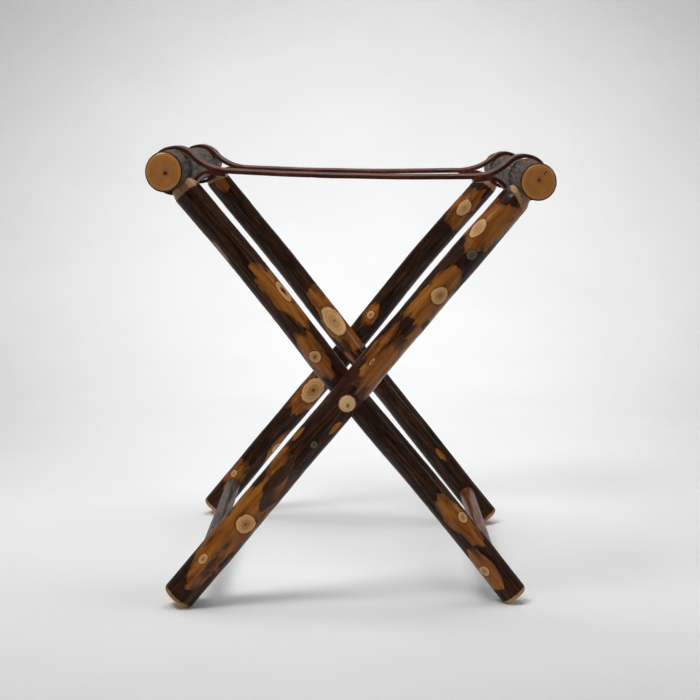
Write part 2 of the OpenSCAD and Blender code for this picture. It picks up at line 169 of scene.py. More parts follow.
# Hickory with its bark on, shaved in places and lacquered: nearly black ridges with a few sharp
# glints, and glossy amber wood where it is bare.
LEG_BARK = BarkFinish(
    dark="#0f0501",
    mid="#261003",
    light="#4a280d",
    tint="#3c1a08",
    fleck="#4b3a22",
    fleck_amount=0.22,
    amber_dark="#562b08",
    amber="#894d13",
    amber_light="#a26725",
    residue="#1a0b04",
    bare_dark="#8a6243",
    bare_light="#b98f69",
    roughness=0.42,
    coat=0.16,
    relief_mm=0.40,
)
# Dry hickory bark, left as it grew: grey-brown ridges without a sheen.
RAIL_BARK = BarkFinish(
    dark="#231a15",
    mid="#4c4038",
    light="#766659",
    tint="#3d2a1e",
    fleck="#8b7d70",
    fleck_amount=0.35,
    amber_dark="#5f3414",
    amber="#8a5626",
    amber_light="#aa7a43",
    residue="#2b1b11",
    bare_dark="#96692f",
    bare_light="#bb8f55",
    roughness=0.66,
    coat=0.02,
    relief_mm=0.35,
)
# Thin weathered bark, brushed: grey-brown and streaked, with a low sheen.
GREY_STICK = BarkFinish(
    dark="#211812",
    mid="#3d3027",
    light="#5b4b3e",
    tint="#4a2c1c",
    fleck="#857a68",
    fleck_amount=0.35,
    amber_dark="#6a3d1a",
    amber="#8f5d2c",
    amber_light="#b08450",
    residue="#352317",
    bare_dark="#8f6b40",
    bare_light="#b8935f",
    roughness=0.5,
    coat=0.12,
    relief_mm=0.18,
)
# Thin inner bark, oiled: warm brown with a soft gloss.
BROWN_STICK = BarkFinish(
    dark="#33190a",
    mid="#5a3013",
    light="#804a20",
    tint="#6d3511",
    fleck="#8c6a44",
    fleck_amount=0.25,
    amber_dark="#6b380f",
    amber="#935620",
    amber_light="#b47e40",
    residue="#3a1f0f",
    bare_dark="#91693a",
    bare_light="#b8905a",
    roughness=0.48,
    coat=0.2,
    relief_mm=0.15,
)


@dataclass(frozen=True)
class EndFinish:
    """Look of a sawn end: ring colours, pith, pale sapwood and the bark line round it."""

    heart: str
    ring: str
    sap: str
    pith: str
    bark: str
    pith_at_mm: tuple[float, float]
    pith_mm: float
    rings_per_mm: float
    sap_from: float
    bark_from: float
    crack_deg: Optional[float] = None
    gloss: float = 0.22
    coat: float = 1.0


# ----------------------------------------------------------------------------------------------
# Features of the wood
# ----------------------------------------------------------------------------------------------


@dataclass(frozen=True)
class Spot:
    """An oval place on a pole.

    Attributes:
        along: Distance of its middle from the pole's start, mm.
        turn: Angle round the pole from the side that faces the front, degrees.
        half_along: Half its length along the grain, mm.
        half_around: Half its width across the grain, mm.
    """

    along: float
    turn: float
    half_along: float
    half_around: float


@dataclass(frozen=True)
class Knot(Spot):
    """A knot: how it looks, and the height in mm of the wood that has grown up round it."""

    kind: KnotKind = KnotKind.RINGED
    swell: float = 1.0


@dataclass(frozen=True)
class Patch(Spot):
    """A place where the bark is shaved off down to amber wood.

    Attributes:
        ragged: How far the bark's edge wanders, as a share of the size.
        residue: How much inner bark is left on it, from 0 to 1 or a little more.
    """

    ragged: float = 0.55
    residue: float = 0.35


# ----------------------------------------------------------------------------------------------
# Shader graphs
# ----------------------------------------------------------------------------------------------


class Node(Enum):
    """The nodes that the finishes use: Blender's kind of node and what is set on it."""

    PLUS = ("Math", {"operation": "ADD"})
    MINUS = ("Math", {"operation": "SUBTRACT"})
    TIMES = ("Math", {"operation": "MULTIPLY"})
    TIMES_PLUS = ("Math", {"operation": "MULTIPLY_ADD"})
    OVER = ("Math", {"operation": "DIVIDE"})
    LARGER = ("Math", {"operation": "MAXIMUM"})
    SIZE = ("Math", {"operation": "ABSOLUTE"})
    SINE = ("Math", {"operation": "SINE"})
    STEP = ("MapRange", {"interpolation_type": "SMOOTHSTEP"})
    SHIFT = ("VectorMath", {"operation": "ADD"})
    FROM = ("VectorMath", {"operation": "SUBTRACT"})
    STRETCH = ("VectorMath", {"operation": "MULTIPLY"})
    HEADING = ("VectorMath", {"operation": "NORMALIZE"})
    LENGTH = ("VectorMath", {"operation": "LENGTH"})
    DOT = ("VectorMath", {"operation": "DOT_PRODUCT"})
    SPLIT = ("SeparateXYZ", {})
    PLACE = ("TexCoord", {})
    ATTRIBUTE = ("Attribute", {"attribute_type": "GEOMETRY"})
    NOISE = ("TexNoise", {})
    CELLS = ("TexVoronoi", {"feature": "F1"})
    SOFT_CELLS = ("TexVoronoi", {"feature": "SMOOTH_F1"})
    RAMP = ("ValToRGB", {})
    MIX = ("Mix", {"data_type": "RGBA"})
    BLEND = ("Mix", {"data_type": "FLOAT"})
    BUMP = ("Bump", {})
    SURFACE = ("BsdfPrincipled", {})
    OUTPUT = ("OutputMaterial", {})


class Graph:
    """One material's node tree."""

    def __init__(self, name: str, slot: Optional[Slot] = None) -> None:
        """Start an empty material.

        Args:
            name: Name of the real finish.
            slot: The record's slot that it belongs to, or None for the studio.
        """
        self.material = bpy.data.materials.new(name)
        self.slot = slot
        self.material.use_nodes = True
        self.tree = self.material.node_tree
        self.tree.nodes.clear()

    def add(
        self,
        node: Node,
        *values: Value,
        out: Optional[str] = None,
        stops: Sequence[tuple[float, str]] = (),
        **more: Union[Value, str],
    ) -> Optional[bpy.types.NodeSocket]:
        """Add a node with its settings and link or fill its inputs.

        Args:
            node: Which node.
            *values: What its inputs take, in the order in which it shows them.
            out: Name of the output that is wanted, if it isn't the first.
            stops: Positions and hex colours of a ramp.
            **more: Inputs by name, with a capital and with underscores for spaces, and settings.

        Returns:
            The wanted output, or None when the node has none.
        """
        kind, settings = node.value
        made = self.tree.nodes.new("ShaderNode" + kind)
        for key, value in settings.items():
            setattr(made, key, value)
        filled = list(zip([socket for socket in made.inputs if socket.enabled], values))
        for key, value in more.items():
            if key[0].isupper():
                filled.append((made.inputs[key.replace("_", " ")], value))
            else:
                setattr(made, key, value)
        for socket, value in filled:
            if isinstance(value, bpy.types.NodeSocket):
                self.tree.links.new(value, socket)
            else:
                socket.default_value = value
        if stops:
            points = made.color_ramp.elements
            while len(points) < len(stops):
                points.new(0.5)
            for point, (place, code) in zip(points, sorted(stops)):
                point.position, point.color = place, linear(code)
        if out:
            return made.outputs[out]
        return next((socket for socket in made.outputs if socket.enabled), None)

    def finish(
        self,
        color: Value,
        roughness: Value,
        height: Optional[Value] = None,
        height_mm: float = 0.2,
        **surface: Value,
    ) -> "Graph":
        """Close the graph with a surface.

        Args:
            color: Base colour.
            roughness: Roughness.
            height: Relief from 0 to 1, if any.
            height_mm: Height of that relief.
            **surface: More inputs of the surface, by name with underscores for spaces.

        Returns:
            The graph itself.
        """
        if height is not None:
            surface["Normal"] = self.add(Node.BUMP, 1.0, height_mm * MM, Height=height)
        shader = self.add(Node.SURFACE, Base_Color=color, Roughness=roughness, **surface)
        self.add(Node.OUTPUT, shader)
        return self


# Scales of the patterns on the poles, as features per metre, from their real sizes. Fibres, pores and
# saw marks are finer on real wood and are drawn as coarse as they have to be to show.
STREAKS = 420  # ridges of bark 2.4 mm wide, drawn out along the pole
FIBRES = 1500  # fibres 0.7 mm wide
PLATES = 170  # plates of bark 6 mm across
CLOUDS = 38  # stained areas 26 mm across
FLECKS = 240  # flecks of lichen and dust 4 mm across
BARK_PORES = 300  # pores 3.3 mm apart
CLOUDS_OF_EDGE = 42  # bays in the edge of a shaved patch, 24 mm across
SPLINTERS = 210  # splinters along that edge, 5 mm wide
BLOTCHES = 60  # inner bark left on shaved wood, 17 mm across
FIGURE = 130  # figure of the shaved wood, 8 mm wide
KNOT_OUTLINE = 105  # bumps in a knot's outline, 10 mm long
SHAVINGS = 90  # facets at the edge of the shaved shoulder, 11 mm wide
RING_WOBBLE = 75  # waves in the growth rings, 13 mm long
RING_SHADES = 95  # darker and lighter areas of a sawn end, 11 mm across
SAW_MARKS = 900  # tooth marks 1.1 mm apart
SAP_OUTLINE = 120  # waves in the sapwood's edge, 8 mm long
RAYS_ROUND = 26  # rays, on the unit circle round the pith


@dataclass
class BarkMaterial:
    """Material of one pole: bark, shaved patches, knots, pale shoulder and sawn ends.

    Attributes:
        name: Name of the pole's finish; its length also picks the pattern.
        slot: The record's slot.
        bark: Colours of the pole.
        radius: The pole's radius, used to put the features on its surface.
        ends: Look of the sawn ends.
        knots: Its knots.
        patches: Its shaved patches.
        shoulder: Length from the start that is shaved pale, or 0.
        tilt: How far that edge leans towards the start on the upper side, metres per metre.
        foot_at: Distance along at which the pale worn foot begins, or 0.
    """

    name: str
    slot: Slot
    bark: BarkFinish
    radius: float
    ends: EndFinish
    knots: Sequence[Knot] = ()
    patches: Sequence[Patch] = ()
    shoulder: float = 0.0
    tilt: float = 0.0
    foot_at: float = 0.0
    graph: Graph = field(init=False)

    def build(self) -> Graph:
        """Make the node tree.

        Returns:
            The finished graph.
        """
        g = self.graph = Graph(self.name, self.slot)
        grain = g.add(Node.ATTRIBUTE, attribute_name="grain", out="Vector")
        cut = g.add(Node.ATTRIBUTE, attribute_name="cut", out="Fac")
        offset = 0.37 * (len(self.name) % 7 + 1)
        seed = g.add(Node.SHIFT, grain, tuple(offset * (k + 1) for k in range(3)))
        streaks = g.add(Node.NOISE, self._drawn_out(seed, 0.045), STREAKS, 7, 0.62)
        fibre = g.add(Node.NOISE, self._drawn_out(seed, 0.03), FIBRES, 3, 0.5)
        plates = g.add(Node.NOISE, self._drawn_out(seed, 0.16), PLATES, 5, 0.65, Distortion=0.4)
        color, height = self._bark(seed, streaks, fibre, plates)
        shaved, residue = self._shaved(grain, seed)
        color = g.add(Node.MIX, shaved, color, self._amber(seed, fibre, residue))
        height = g.add(Node.BLEND, shaved, height, g.add(Node.TIMES_PLUS, fibre, 0.12, 0.28))
        rough = g.add(Node.BLEND, shaved, self.bark.roughness, 0.3)
        rough = g.add(Node.TIMES_PLUS, g.add(Node.MINUS, streaks, 0.5), 0.35, rough)
        for knot in self.knots:
            color, height, rough = self._knot(knot, grain, seed, color, height, rough)
        color, rough = self._bare(grain, seed, streaks, fibre, color, rough)
        color, rough, height, rim = self._end(grain, cut, color, rough, height)
        glint = g.add(Node.TIMES, g.add(Node.STEP, streaks, 0.42, 0.58), 1.6 * self.bark.coat)
        glint = g.add(Node.BLEND, shaved, glint, 2.2 * self.bark.coat)
        end_coat = g.add(Node.TIMES_PLUS, rim, -self.ends.coat, self.ends.coat)
        return g.finish(
            color,
            rough,
            height,
            self.bark.relief_mm * 2,
            Coat_Weight=g.add(Node.BLEND, cut, glint, end_coat),
            Coat_Roughness=0.14,
            Specular_IOR_Level=0.1,
        )

    def _drawn_out(self, at: Value, share: float) -> bpy.types.NodeSocket:
        """Places squeezed along the pole, which draws a pattern out along the grain."""
        return self.graph.add(Node.STRETCH, at, (1, 1, share))

    def _wander(self, at: Value, scale: float, detail: float, rough: float) -> bpy.types.NodeSocket:
        """Noise about zero."""
        return self.graph.add(Node.MINUS, self.graph.add(Node.NOISE, at, scale, detail, rough), 0.5)

    def _bark(self, seed: Value, streaks: Value, fibre: Value, plates: Value) -> tuple[Value, Value]:
        """Colour and relief of the bark itself.

        Args:
            seed: Grain place, shifted so that each pole has its own pattern.
            streaks: Noise of the bark ridges.
            fibre: Noise of the wood fibres.
            plates: Noise of the bark plates.

        Returns:
            Its colour and its relief.
        """
        g, b = self.graph, self.bark
        tone = g.add(Node.TIMES_PLUS, fibre, 0.35, g.add(Node.TIMES, streaks, 0.65))
        color = g.add(Node.RAMP, tone, stops=[(0.40, b.dark), (0.5, b.mid), (0.61, b.light)])
        clouds = g.add(Node.NOISE, self._drawn_out(seed, 0.35), CLOUDS, 4, 0.6)
        stained = g.add(Node.TIMES, g.add(Node.STEP, clouds, 0.5, 0.72), 0.55)
        color = g.add(Node.MIX, stained, color, linear(b.tint))
        flecks = g.add(Node.TIMES, plates, g.add(Node.NOISE, seed, FLECKS, 3, 0.55))
        flecked = g.add(Node.TIMES, g.add(Node.STEP, flecks, 0.27, 0.36), b.fleck_amount)
        color = g.add(Node.MIX, flecked, color, linear(b.fleck))
        pores = g.add(Node.STEP, g.add(Node.CELLS, self._drawn_out(seed, 0.3), BARK_PORES), 0.16, 0.06)
        color = g.add(Node.MIX, g.add(Node.TIMES, pores, b.fleck_amount * 0.7), color, linear(b.light))
        furrow = g.add(Node.STEP, plates, 0.40, 0.30)
        color = g.add(Node.MIX, g.add(Node.TIMES, furrow, 0.55), color, linear(b.dark))
        height = g.add(Node.TIMES_PLUS, plates, 0.5, g.add(Node.TIMES, streaks, 0.5))
        return color, height

    def _distance(self, at: Value, spot: Spot) -> bpy.types.NodeSocket:
        """Distance from a spot's middle, 1 at its edge.

        Args:
            at: Grain place.
            spot: The knot or patch.

        Returns:
            The distance.
        """
        g = self.graph
        angle = math.radians(spot.turn)
        centre = (self.radius * math.sin(angle), -self.radius * math.cos(angle), spot.along * MM)
        across = 1 / (spot.half_around * MM)
        offset = g.add(Node.FROM, at, centre)
        return g.add(Node.LENGTH, g.add(Node.STRETCH, offset, (across, across, 1 / (spot.half_along * MM))))

    def _shaved(self, grain: Value, seed: Value) -> tuple[Value, Value]:
        """Masks of the shaved wood and of the inner bark left on it.

        Args:
            grain: Grain place.
            seed: Grain place, shifted so that each pole has its own pattern.

        Returns:
            Both masks.
        """
        g = self.graph
        if not self.patches:
            return 0.0, 0.0
        broad = self._wander(self._drawn_out(seed, 0.5), CLOUDS_OF_EDGE, 3, 0.55)
        jagged = self._wander(self._drawn_out(seed, 0.22), SPLINTERS, 5, 0.65)
        wander = g.add(Node.TIMES_PLUS, jagged, 0.35, broad)
        blotch = g.add(Node.NOISE, self._drawn_out(seed, 0.4), BLOTCHES, 5, 0.6, Distortion=0.5)
        shaved: Value = 0.0
        residue: Value = 0.0
        for patch in self.patches:
            d = g.add(Node.TIMES_PLUS, wander, 3.4 * patch.ragged, self._distance(grain, patch))
            mask = g.add(Node.STEP, d, 1.12, 1.02)
            left = g.add(Node.TIMES_PLUS, d, 0.26, g.add(Node.PLUS, blotch, patch.residue * 0.2))
            left = g.add(Node.TIMES, g.add(Node.STEP, left, 0.74, 0.98), mask)
            shaved = g.add(Node.LARGER, shaved, mask)
            residue = g.add(Node.LARGER, residue, left)
        return shaved, residue

    def _amber(self, seed: Value, fibre: Value, residue: Value) -> bpy.types.NodeSocket:
        """Colour of the shaved wood.

        Args:
            seed: Grain place, shifted so that each pole has its own pattern.
            fibre: Noise of the wood fibres.
            residue: Mask of the inner bark left on.

        Returns:
            The colour.
        """
        g, b = self.graph, self.bark
        figure = g.add(Node.NOISE, self._drawn_out(seed, 0.12), FIGURE, 4, 0.55)
        tone = g.add(Node.TIMES_PLUS, figure, 0.7, g.add(Node.TIMES, fibre, 0.3))
        wood = g.add(Node.RAMP, tone, stops=[(0.34, b.amber_dark), (0.5, b.amber), (0.66, b.amber_light)])
        return g.add(Node.MIX, g.add(Node.TIMES, residue, 0.88), wood, linear(b.residue))

    def _knot(
        self, knot: Knot, grain: Value, seed: Value, color: Value, height: Value, rough: Value
    ) -> tuple[Value, Value, Value]:
        """Lay one knot over the wood.

        Args:
            knot: The knot.
            grain: Grain place.
            seed: Grain place, shifted so that each pole has its own pattern.
            color: Colour so far.
            height: Relief so far.
            rough: Roughness so far.

        Returns:
            Colour, relief and roughness with the knot on them.
        """
        g, look = self.graph, KNOTS[knot.kind]
        uneven = self._wander(seed, KNOT_OUTLINE, 4, 0.55)
        d = g.add(Node.TIMES_PLUS, uneven, 0.46, self._distance(grain, knot))
        wave = g.add(Node.SINE, g.add(Node.TIMES, d, 26.0))
        rings = g.add(Node.TIMES_PLUS, wave, 0.022, d)
        pith, wood = look.pith_share, look.wood
        stops = [(0.0, look.pith), (pith, look.pith), (pith + 0.08, look.heart), (0.5, look.ring)]
        stops += [(0.58, wood), (0.66, look.ring), (0.74, wood), (0.93, wood), (0.99, look.rim)]
        disc = g.add(Node.RAMP, rings, stops=stops)
        halo = g.add(Node.TIMES, g.add(Node.STEP, d, 1.3, 1.0), 0.45)
        color = g.add(Node.MIX, halo, color, linear(self.bark.residue))
        inside = g.add(Node.STEP, d, 1.03, 0.95)
        color = g.add(Node.MIX, inside, color, disc)
        height = g.add(Node.BLEND, inside, height, g.add(Node.TIMES_PLUS, rings, -0.25, 0.75))
        rough = g.add(Node.BLEND, inside, rough, 0.34)
        return color, height, rough

    def _bare(
        self, grain: Value, seed: Value, streaks: Value, fibre: Value, color: Value, rough: Value
    ) -> tuple[Value, Value]:
        """Pale wood of the shaved shoulder and of the worn foot.

        Args:
            grain: Grain place.
            seed: Grain place, shifted so that each pole has its own pattern.
            streaks: Noise of the bark ridges.
            fibre: Noise of the wood fibres.
            color: Colour so far.
            rough: Roughness so far.

        Returns:
            Colour and roughness with the pale wood on them.
        """
        g, b = self.graph, self.bark
        along = g.add(Node.SPLIT, grain, out="Z")
        upper = g.add(Node.SPLIT, grain, out="X")
        edge = g.add(Node.TIMES, self._wander(self._drawn_out(seed, 0.4), SHAVINGS, 4, 0.65), 0.007)
        tone = g.add(Node.TIMES_PLUS, streaks, 0.6, g.add(Node.TIMES, fibre, 0.4))
        pale = g.add(Node.RAMP, tone, stops=[(0.36, b.bare_dark), (0.62, b.bare_light)])
        if self.shoulder:
            place = g.add(Node.PLUS, along, g.add(Node.TIMES_PLUS, upper, self.tilt, edge))
            mask = g.add(Node.STEP, place, self.shoulder + 0.0015, self.shoulder - 0.0015)
            color = g.add(Node.MIX, mask, color, pale)
            rough = g.add(Node.BLEND, mask, rough, 0.45)
        if self.foot_at:
            place = g.add(Node.TIMES_PLUS, edge, 0.35, along)
            mask = g.add(Node.STEP, place, self.foot_at - 0.0008, self.foot_at + 0.0008)
            color = g.add(Node.MIX, mask, color, pale)
            rough = g.add(Node.BLEND, mask, rough, 0.5)
        return color, rough

    def _end(
        self, grain: Value, cut: Value, color: Value, rough: Value, height: Value
    ) -> tuple[Value, Value, Value, Value]:
        """Growth rings, pith, sapwood and bark line of the sawn ends; the last value is the line's mask.

        Args:
            grain: Grain place.
            cut: 1 on the sawn ends and 0 elsewhere.
            color: Colour so far.
            rough: Roughness so far.
            height: Relief so far.

        Returns:
            Colour, roughness and relief with the ends on them, and the mask.
        """
        g, e = self.graph, self.ends
        flat = self._drawn_out(grain, 0)
        offset = g.add(Node.FROM, flat, (e.pith_at_mm[0] * MM, -e.pith_at_mm[1] * MM, 0))
        reach = g.add(Node.LENGTH, offset)
        wobble = g.add(Node.TIMES, self._wander(flat, RING_WOBBLE, 3, 0.55), 0.009)
        ring_at = g.add(Node.PLUS, reach, wobble)
        wave = g.add(Node.SINE, g.add(Node.TIMES, ring_at, TAU * e.rings_per_mm / MM))
        fine = g.add(Node.TIMES, g.add(Node.NOISE, flat, SAW_MARKS, 4, 0.6), 0.3)
        broad = g.add(Node.TIMES_PLUS, g.add(Node.NOISE, flat, RING_SHADES, 3, 0.6), 0.9, fine)
        band = g.add(Node.TIMES_PLUS, wave, 0.15, broad)
        face = g.add(Node.MIX, band, linear(e.ring), linear(e.heart))
        share = g.add(Node.OVER, g.add(Node.LENGTH, flat), self.radius)
        share = g.add(Node.TIMES_PLUS, self._wander(flat, SAP_OUTLINE, 3, 0.55), 0.08, share)
        sapwood = g.add(Node.TIMES, g.add(Node.STEP, share, e.sap_from - 0.06, e.sap_from + 0.03), 0.85)
        face = g.add(Node.MIX, sapwood, face, linear(e.sap))
        near = g.add(Node.TIMES, g.add(Node.STEP, reach, 0.0065, 0.0015), 0.45)
        face = g.add(Node.MIX, near, face, linear(e.ring))
        pith = g.add(Node.STEP, ring_at, e.pith_mm * MM * 1.3, e.pith_mm * MM * 0.7)
        face = g.add(Node.MIX, pith, face, linear(e.pith))
        rays = g.add(Node.NOISE, g.add(Node.HEADING, offset), RAYS_ROUND, 2, 0.5)
        rays = g.add(Node.TIMES, g.add(Node.STEP, rays, 0.55, 0.75), 0.22)
        face = g.add(Node.MIX, rays, face, linear(e.ring))
        if e.crack_deg is not None:
            face = g.add(Node.MIX, self._crack(offset, wobble), face, linear("#1d120b"))
        rim = g.add(Node.STEP, share, e.bark_from, e.bark_from + 0.02)
        color = g.add(Node.MIX, cut, color, face)
        line = g.add(Node.TIMES, rim, g.add(Node.STEP, cut, 0.0, 0.2))
        color = g.add(Node.MIX, line, color, linear(e.bark))
        rough = g.add(Node.BLEND, cut, rough, g.add(Node.TIMES_PLUS, rim, 0.4, e.gloss))
        height = g.add(Node.BLEND, cut, height, g.add(Node.TIMES_PLUS, band, 0.1, 0.45))
        return color, rough, height, rim

    def _crack(self, offset: Value, wobble: Value) -> bpy.types.NodeSocket:
        """Mask of a short drying crack that runs outwards from near the pith.

        Args:
            offset: Place on the end face, measured from the pith.
            wobble: Unevenness of the rings.

        Returns:
            The mask.
        """
        g = self.graph
        angle = math.radians(self.ends.crack_deg)
        side = g.add(Node.DOT, offset, (math.cos(angle), math.sin(angle), 0))
        forward = g.add(Node.DOT, offset, (math.sin(angle), -math.cos(angle), 0))
        side = g.add(Node.PLUS, side, g.add(Node.TIMES, wobble, 0.25))
        thin = g.add(Node.STEP, g.add(Node.SIZE, side), 0.0010, 0.0003)
        begun = g.add(Node.STEP, forward, 0.0075, 0.0095)
        ended = g.add(Node.STEP, forward, 0.0150, 0.0125)
        return g.add(Node.TIMES, thin, g.add(Node.TIMES, begun, ended))


# ----------------------------------------------------------------------------------------------
# Mesh tools
# ----------------------------------------------------------------------------------------------


def start_mesh(make: Callable[[], object], name: str) -> bpy.types.Object:
    """Run a primitive operator with nothing selected and name what it makes.

    Args:
        make: A call of one of bpy.ops.mesh's primitives.
        name: Name of the new object.

    Returns:
        The new object, active and alone in the selection.
    """
    bpy.ops.object.select_all(action="DESELECT")
    make()
    made = bpy.context.object
    made.name = made.data.name = name
    return made


def pick(obj: bpy.types.Object, edges: Iterable[int] = (), faces: Iterable[int] = ()) -> None:
    """Select only the given edges or faces, and leave the object in edit mode.

    Args:
        obj: The object.
        edges: Numbers of the edges.
        faces: Numbers of the faces.
    """
    bpy.ops.object.mode_set(mode="EDIT")
    bpy.ops.mesh.select_mode(type="FACE" if faces else "EDGE")
    bpy.ops.mesh.select_all(action="DESELECT")
    bpy.ops.object.mode_set(mode="OBJECT")
    for i in edges:
        obj.data.edges[i].select = True
    for i in faces:
        obj.data.polygons[i].select = True
    bpy.ops.object.mode_set(mode="EDIT")


def coordinates(obj: bpy.types.Object) -> np.ndarray:
    """Vertex places as an (n, 3) array.

    Args:
        obj: The object.

    Returns:
        The places.
    """
    places = np.empty(len(obj.data.vertices) * 3)
    obj.data.vertices.foreach_get("co", places)
    return places.reshape(-1, 3)


def set_coordinates(obj: bpy.types.Object, places: np.ndarray) -> None:
    """Move every vertex."""
    obj.data.vertices.foreach_set("co", np.ascontiguousarray(places).ravel())
    obj.data.update()


def store_vectors(obj: bpy.types.Object, name: str, values: np.ndarray) -> None:
    """Keep a vector on every vertex for the material to read."""
    layer = obj.data.attributes.new(name, "FLOAT_VECTOR", "POINT")
    layer.data.foreach_set("vector", np.ascontiguousarray(values).ravel())


def store_numbers(obj: bpy.types.Object, name: str, values: np.ndarray) -> None:
    """Keep a number on every vertex for the material to read."""
    layer = obj.data.attributes.new(name, "FLOAT", "POINT")
    layer.data.foreach_set("value", np.ascontiguousarray(values))


def apply_modifier(obj: bpy.types.Object, kind: str, **settings: object) -> None:
    """Add a modifier and apply it.

    Args:
        obj: The object.
        kind: Blender's kind of modifier.
        **settings: What is set on it.
    """
    modifier = obj.modifiers.new(kind.title(), kind)
    for key, value in settings.items():
        setattr(modifier, key, value)
    bpy.context.view_layer.objects.active = obj
    bpy.ops.object.modifier_apply(modifier=modifier.name)


def smooth(obj: bpy.types.Object, angle_deg: float = 180.0) -> None:
    """Shade an object smoothly, keeping edges sharper than the angle.

    Args:
        obj: The object.
        angle_deg: The angle, degrees.
    """
    bpy.ops.object.select_all(action="DESELECT")
    obj.select_set(True)
    bpy.context.view_layer.objects.active = obj
    if angle_deg >= 180:
        bpy.ops.object.shade_smooth()
    else:
        bpy.ops.object.shade_smooth_by_angle(angle=math.radians(angle_deg))


def dress(obj: bpy.types.Object, graph: Graph) -> None:
    """Give an object one material.

    Args:
        obj: The object.
        graph: The material.
    """
    obj.data.materials.clear()
    obj.data.materials.append(graph.material)


# ----------------------------------------------------------------------------------------------
# Poles
# ----------------------------------------------------------------------------------------------


@dataclass(frozen=True)
class Line:
    """A gently swept centreline in a plane of constant Y, or a straight one anywhere.

    Attributes:
        start: Where it begins.
        end: Where it ends.
        face: Direction that counts as angle 0 round it.
        sweep_mm: Bend at a quarter, a half and three quarters of its length, towards the side.
    """

    start: Vector
    end: Vector
    face: Vector
    sweep_mm: tuple[float, float, float] = (0.0, 0.0, 0.0)

    @property
    def length(self) -> float:
        """Straight distance from start to end."""
        return (self.end - self.start).length

    def sides(self) -> tuple[np.ndarray, np.ndarray, np.ndarray]:
        """Heading, side (angle 90) and face (angle 0) as unit vectors; the side points upwards.

        Returns:
            The three directions.
        """
        heading = (self.end - self.start).normalized()
        face = (self.face - self.face.dot(heading) * heading).normalized()
        side = heading.cross(face)
        if side.z < 0:
            side = -side
        return np.array(heading), np.array(side), np.array(face)

    def sweep(self, share: np.ndarray) -> np.ndarray:
        """Smooth curve through the sweeps, in metres.

        Args:
            share: Share of the length, from 0 to 1.

        Returns:
            How far the line is bent off the straight there.
        """
        knots = np.array([0.0, *self.sweep_mm, 0.0]) * MM
        slopes = np.empty(5)
        slopes[0], slopes[4] = knots[1] - knots[0], knots[4] - knots[3]
        slopes[1:4] = (knots[2:] - knots[:-2]) / 2
        i = np.clip((share * 4).astype(int), 0, 3)
        f = share * 4 - i
        return (
            knots[i] * (1 + 2 * f) * (1 - f) ** 2
            + slopes[i] * f * (1 - f) ** 2
            + knots[i + 1] * f * f * (3 - 2 * f)
            + slopes[i + 1] * f * f * (f - 1)
        )

    def lay(self, along: np.ndarray, sideways: np.ndarray, outward: np.ndarray) -> np.ndarray:
        """Places of points given along the line and off it.

        Args:
            along: Distance from the start.
            sideways: Distance off the line towards the side.
            outward: Distance off the line towards the face.

        Returns:
            The places as an (n, 3) array.
        """
        heading, side, face = self.sides()
        share = along / self.length
        step = 1e-3
        slope = (self.sweep(np.clip(share + step, 0, 1)) - self.sweep(np.clip(share - step, 0, 1))) / (
            (np.clip(share + step, 0, 1) - np.clip(share - step, 0, 1)) * self.length
        )
        places = np.array(self.start) + along[:, None] * heading
        places += (self.sweep(share) + sideways)[:, None] * side + outward[:, None] * face
        return places - (slope * sideways)[:, None] * heading


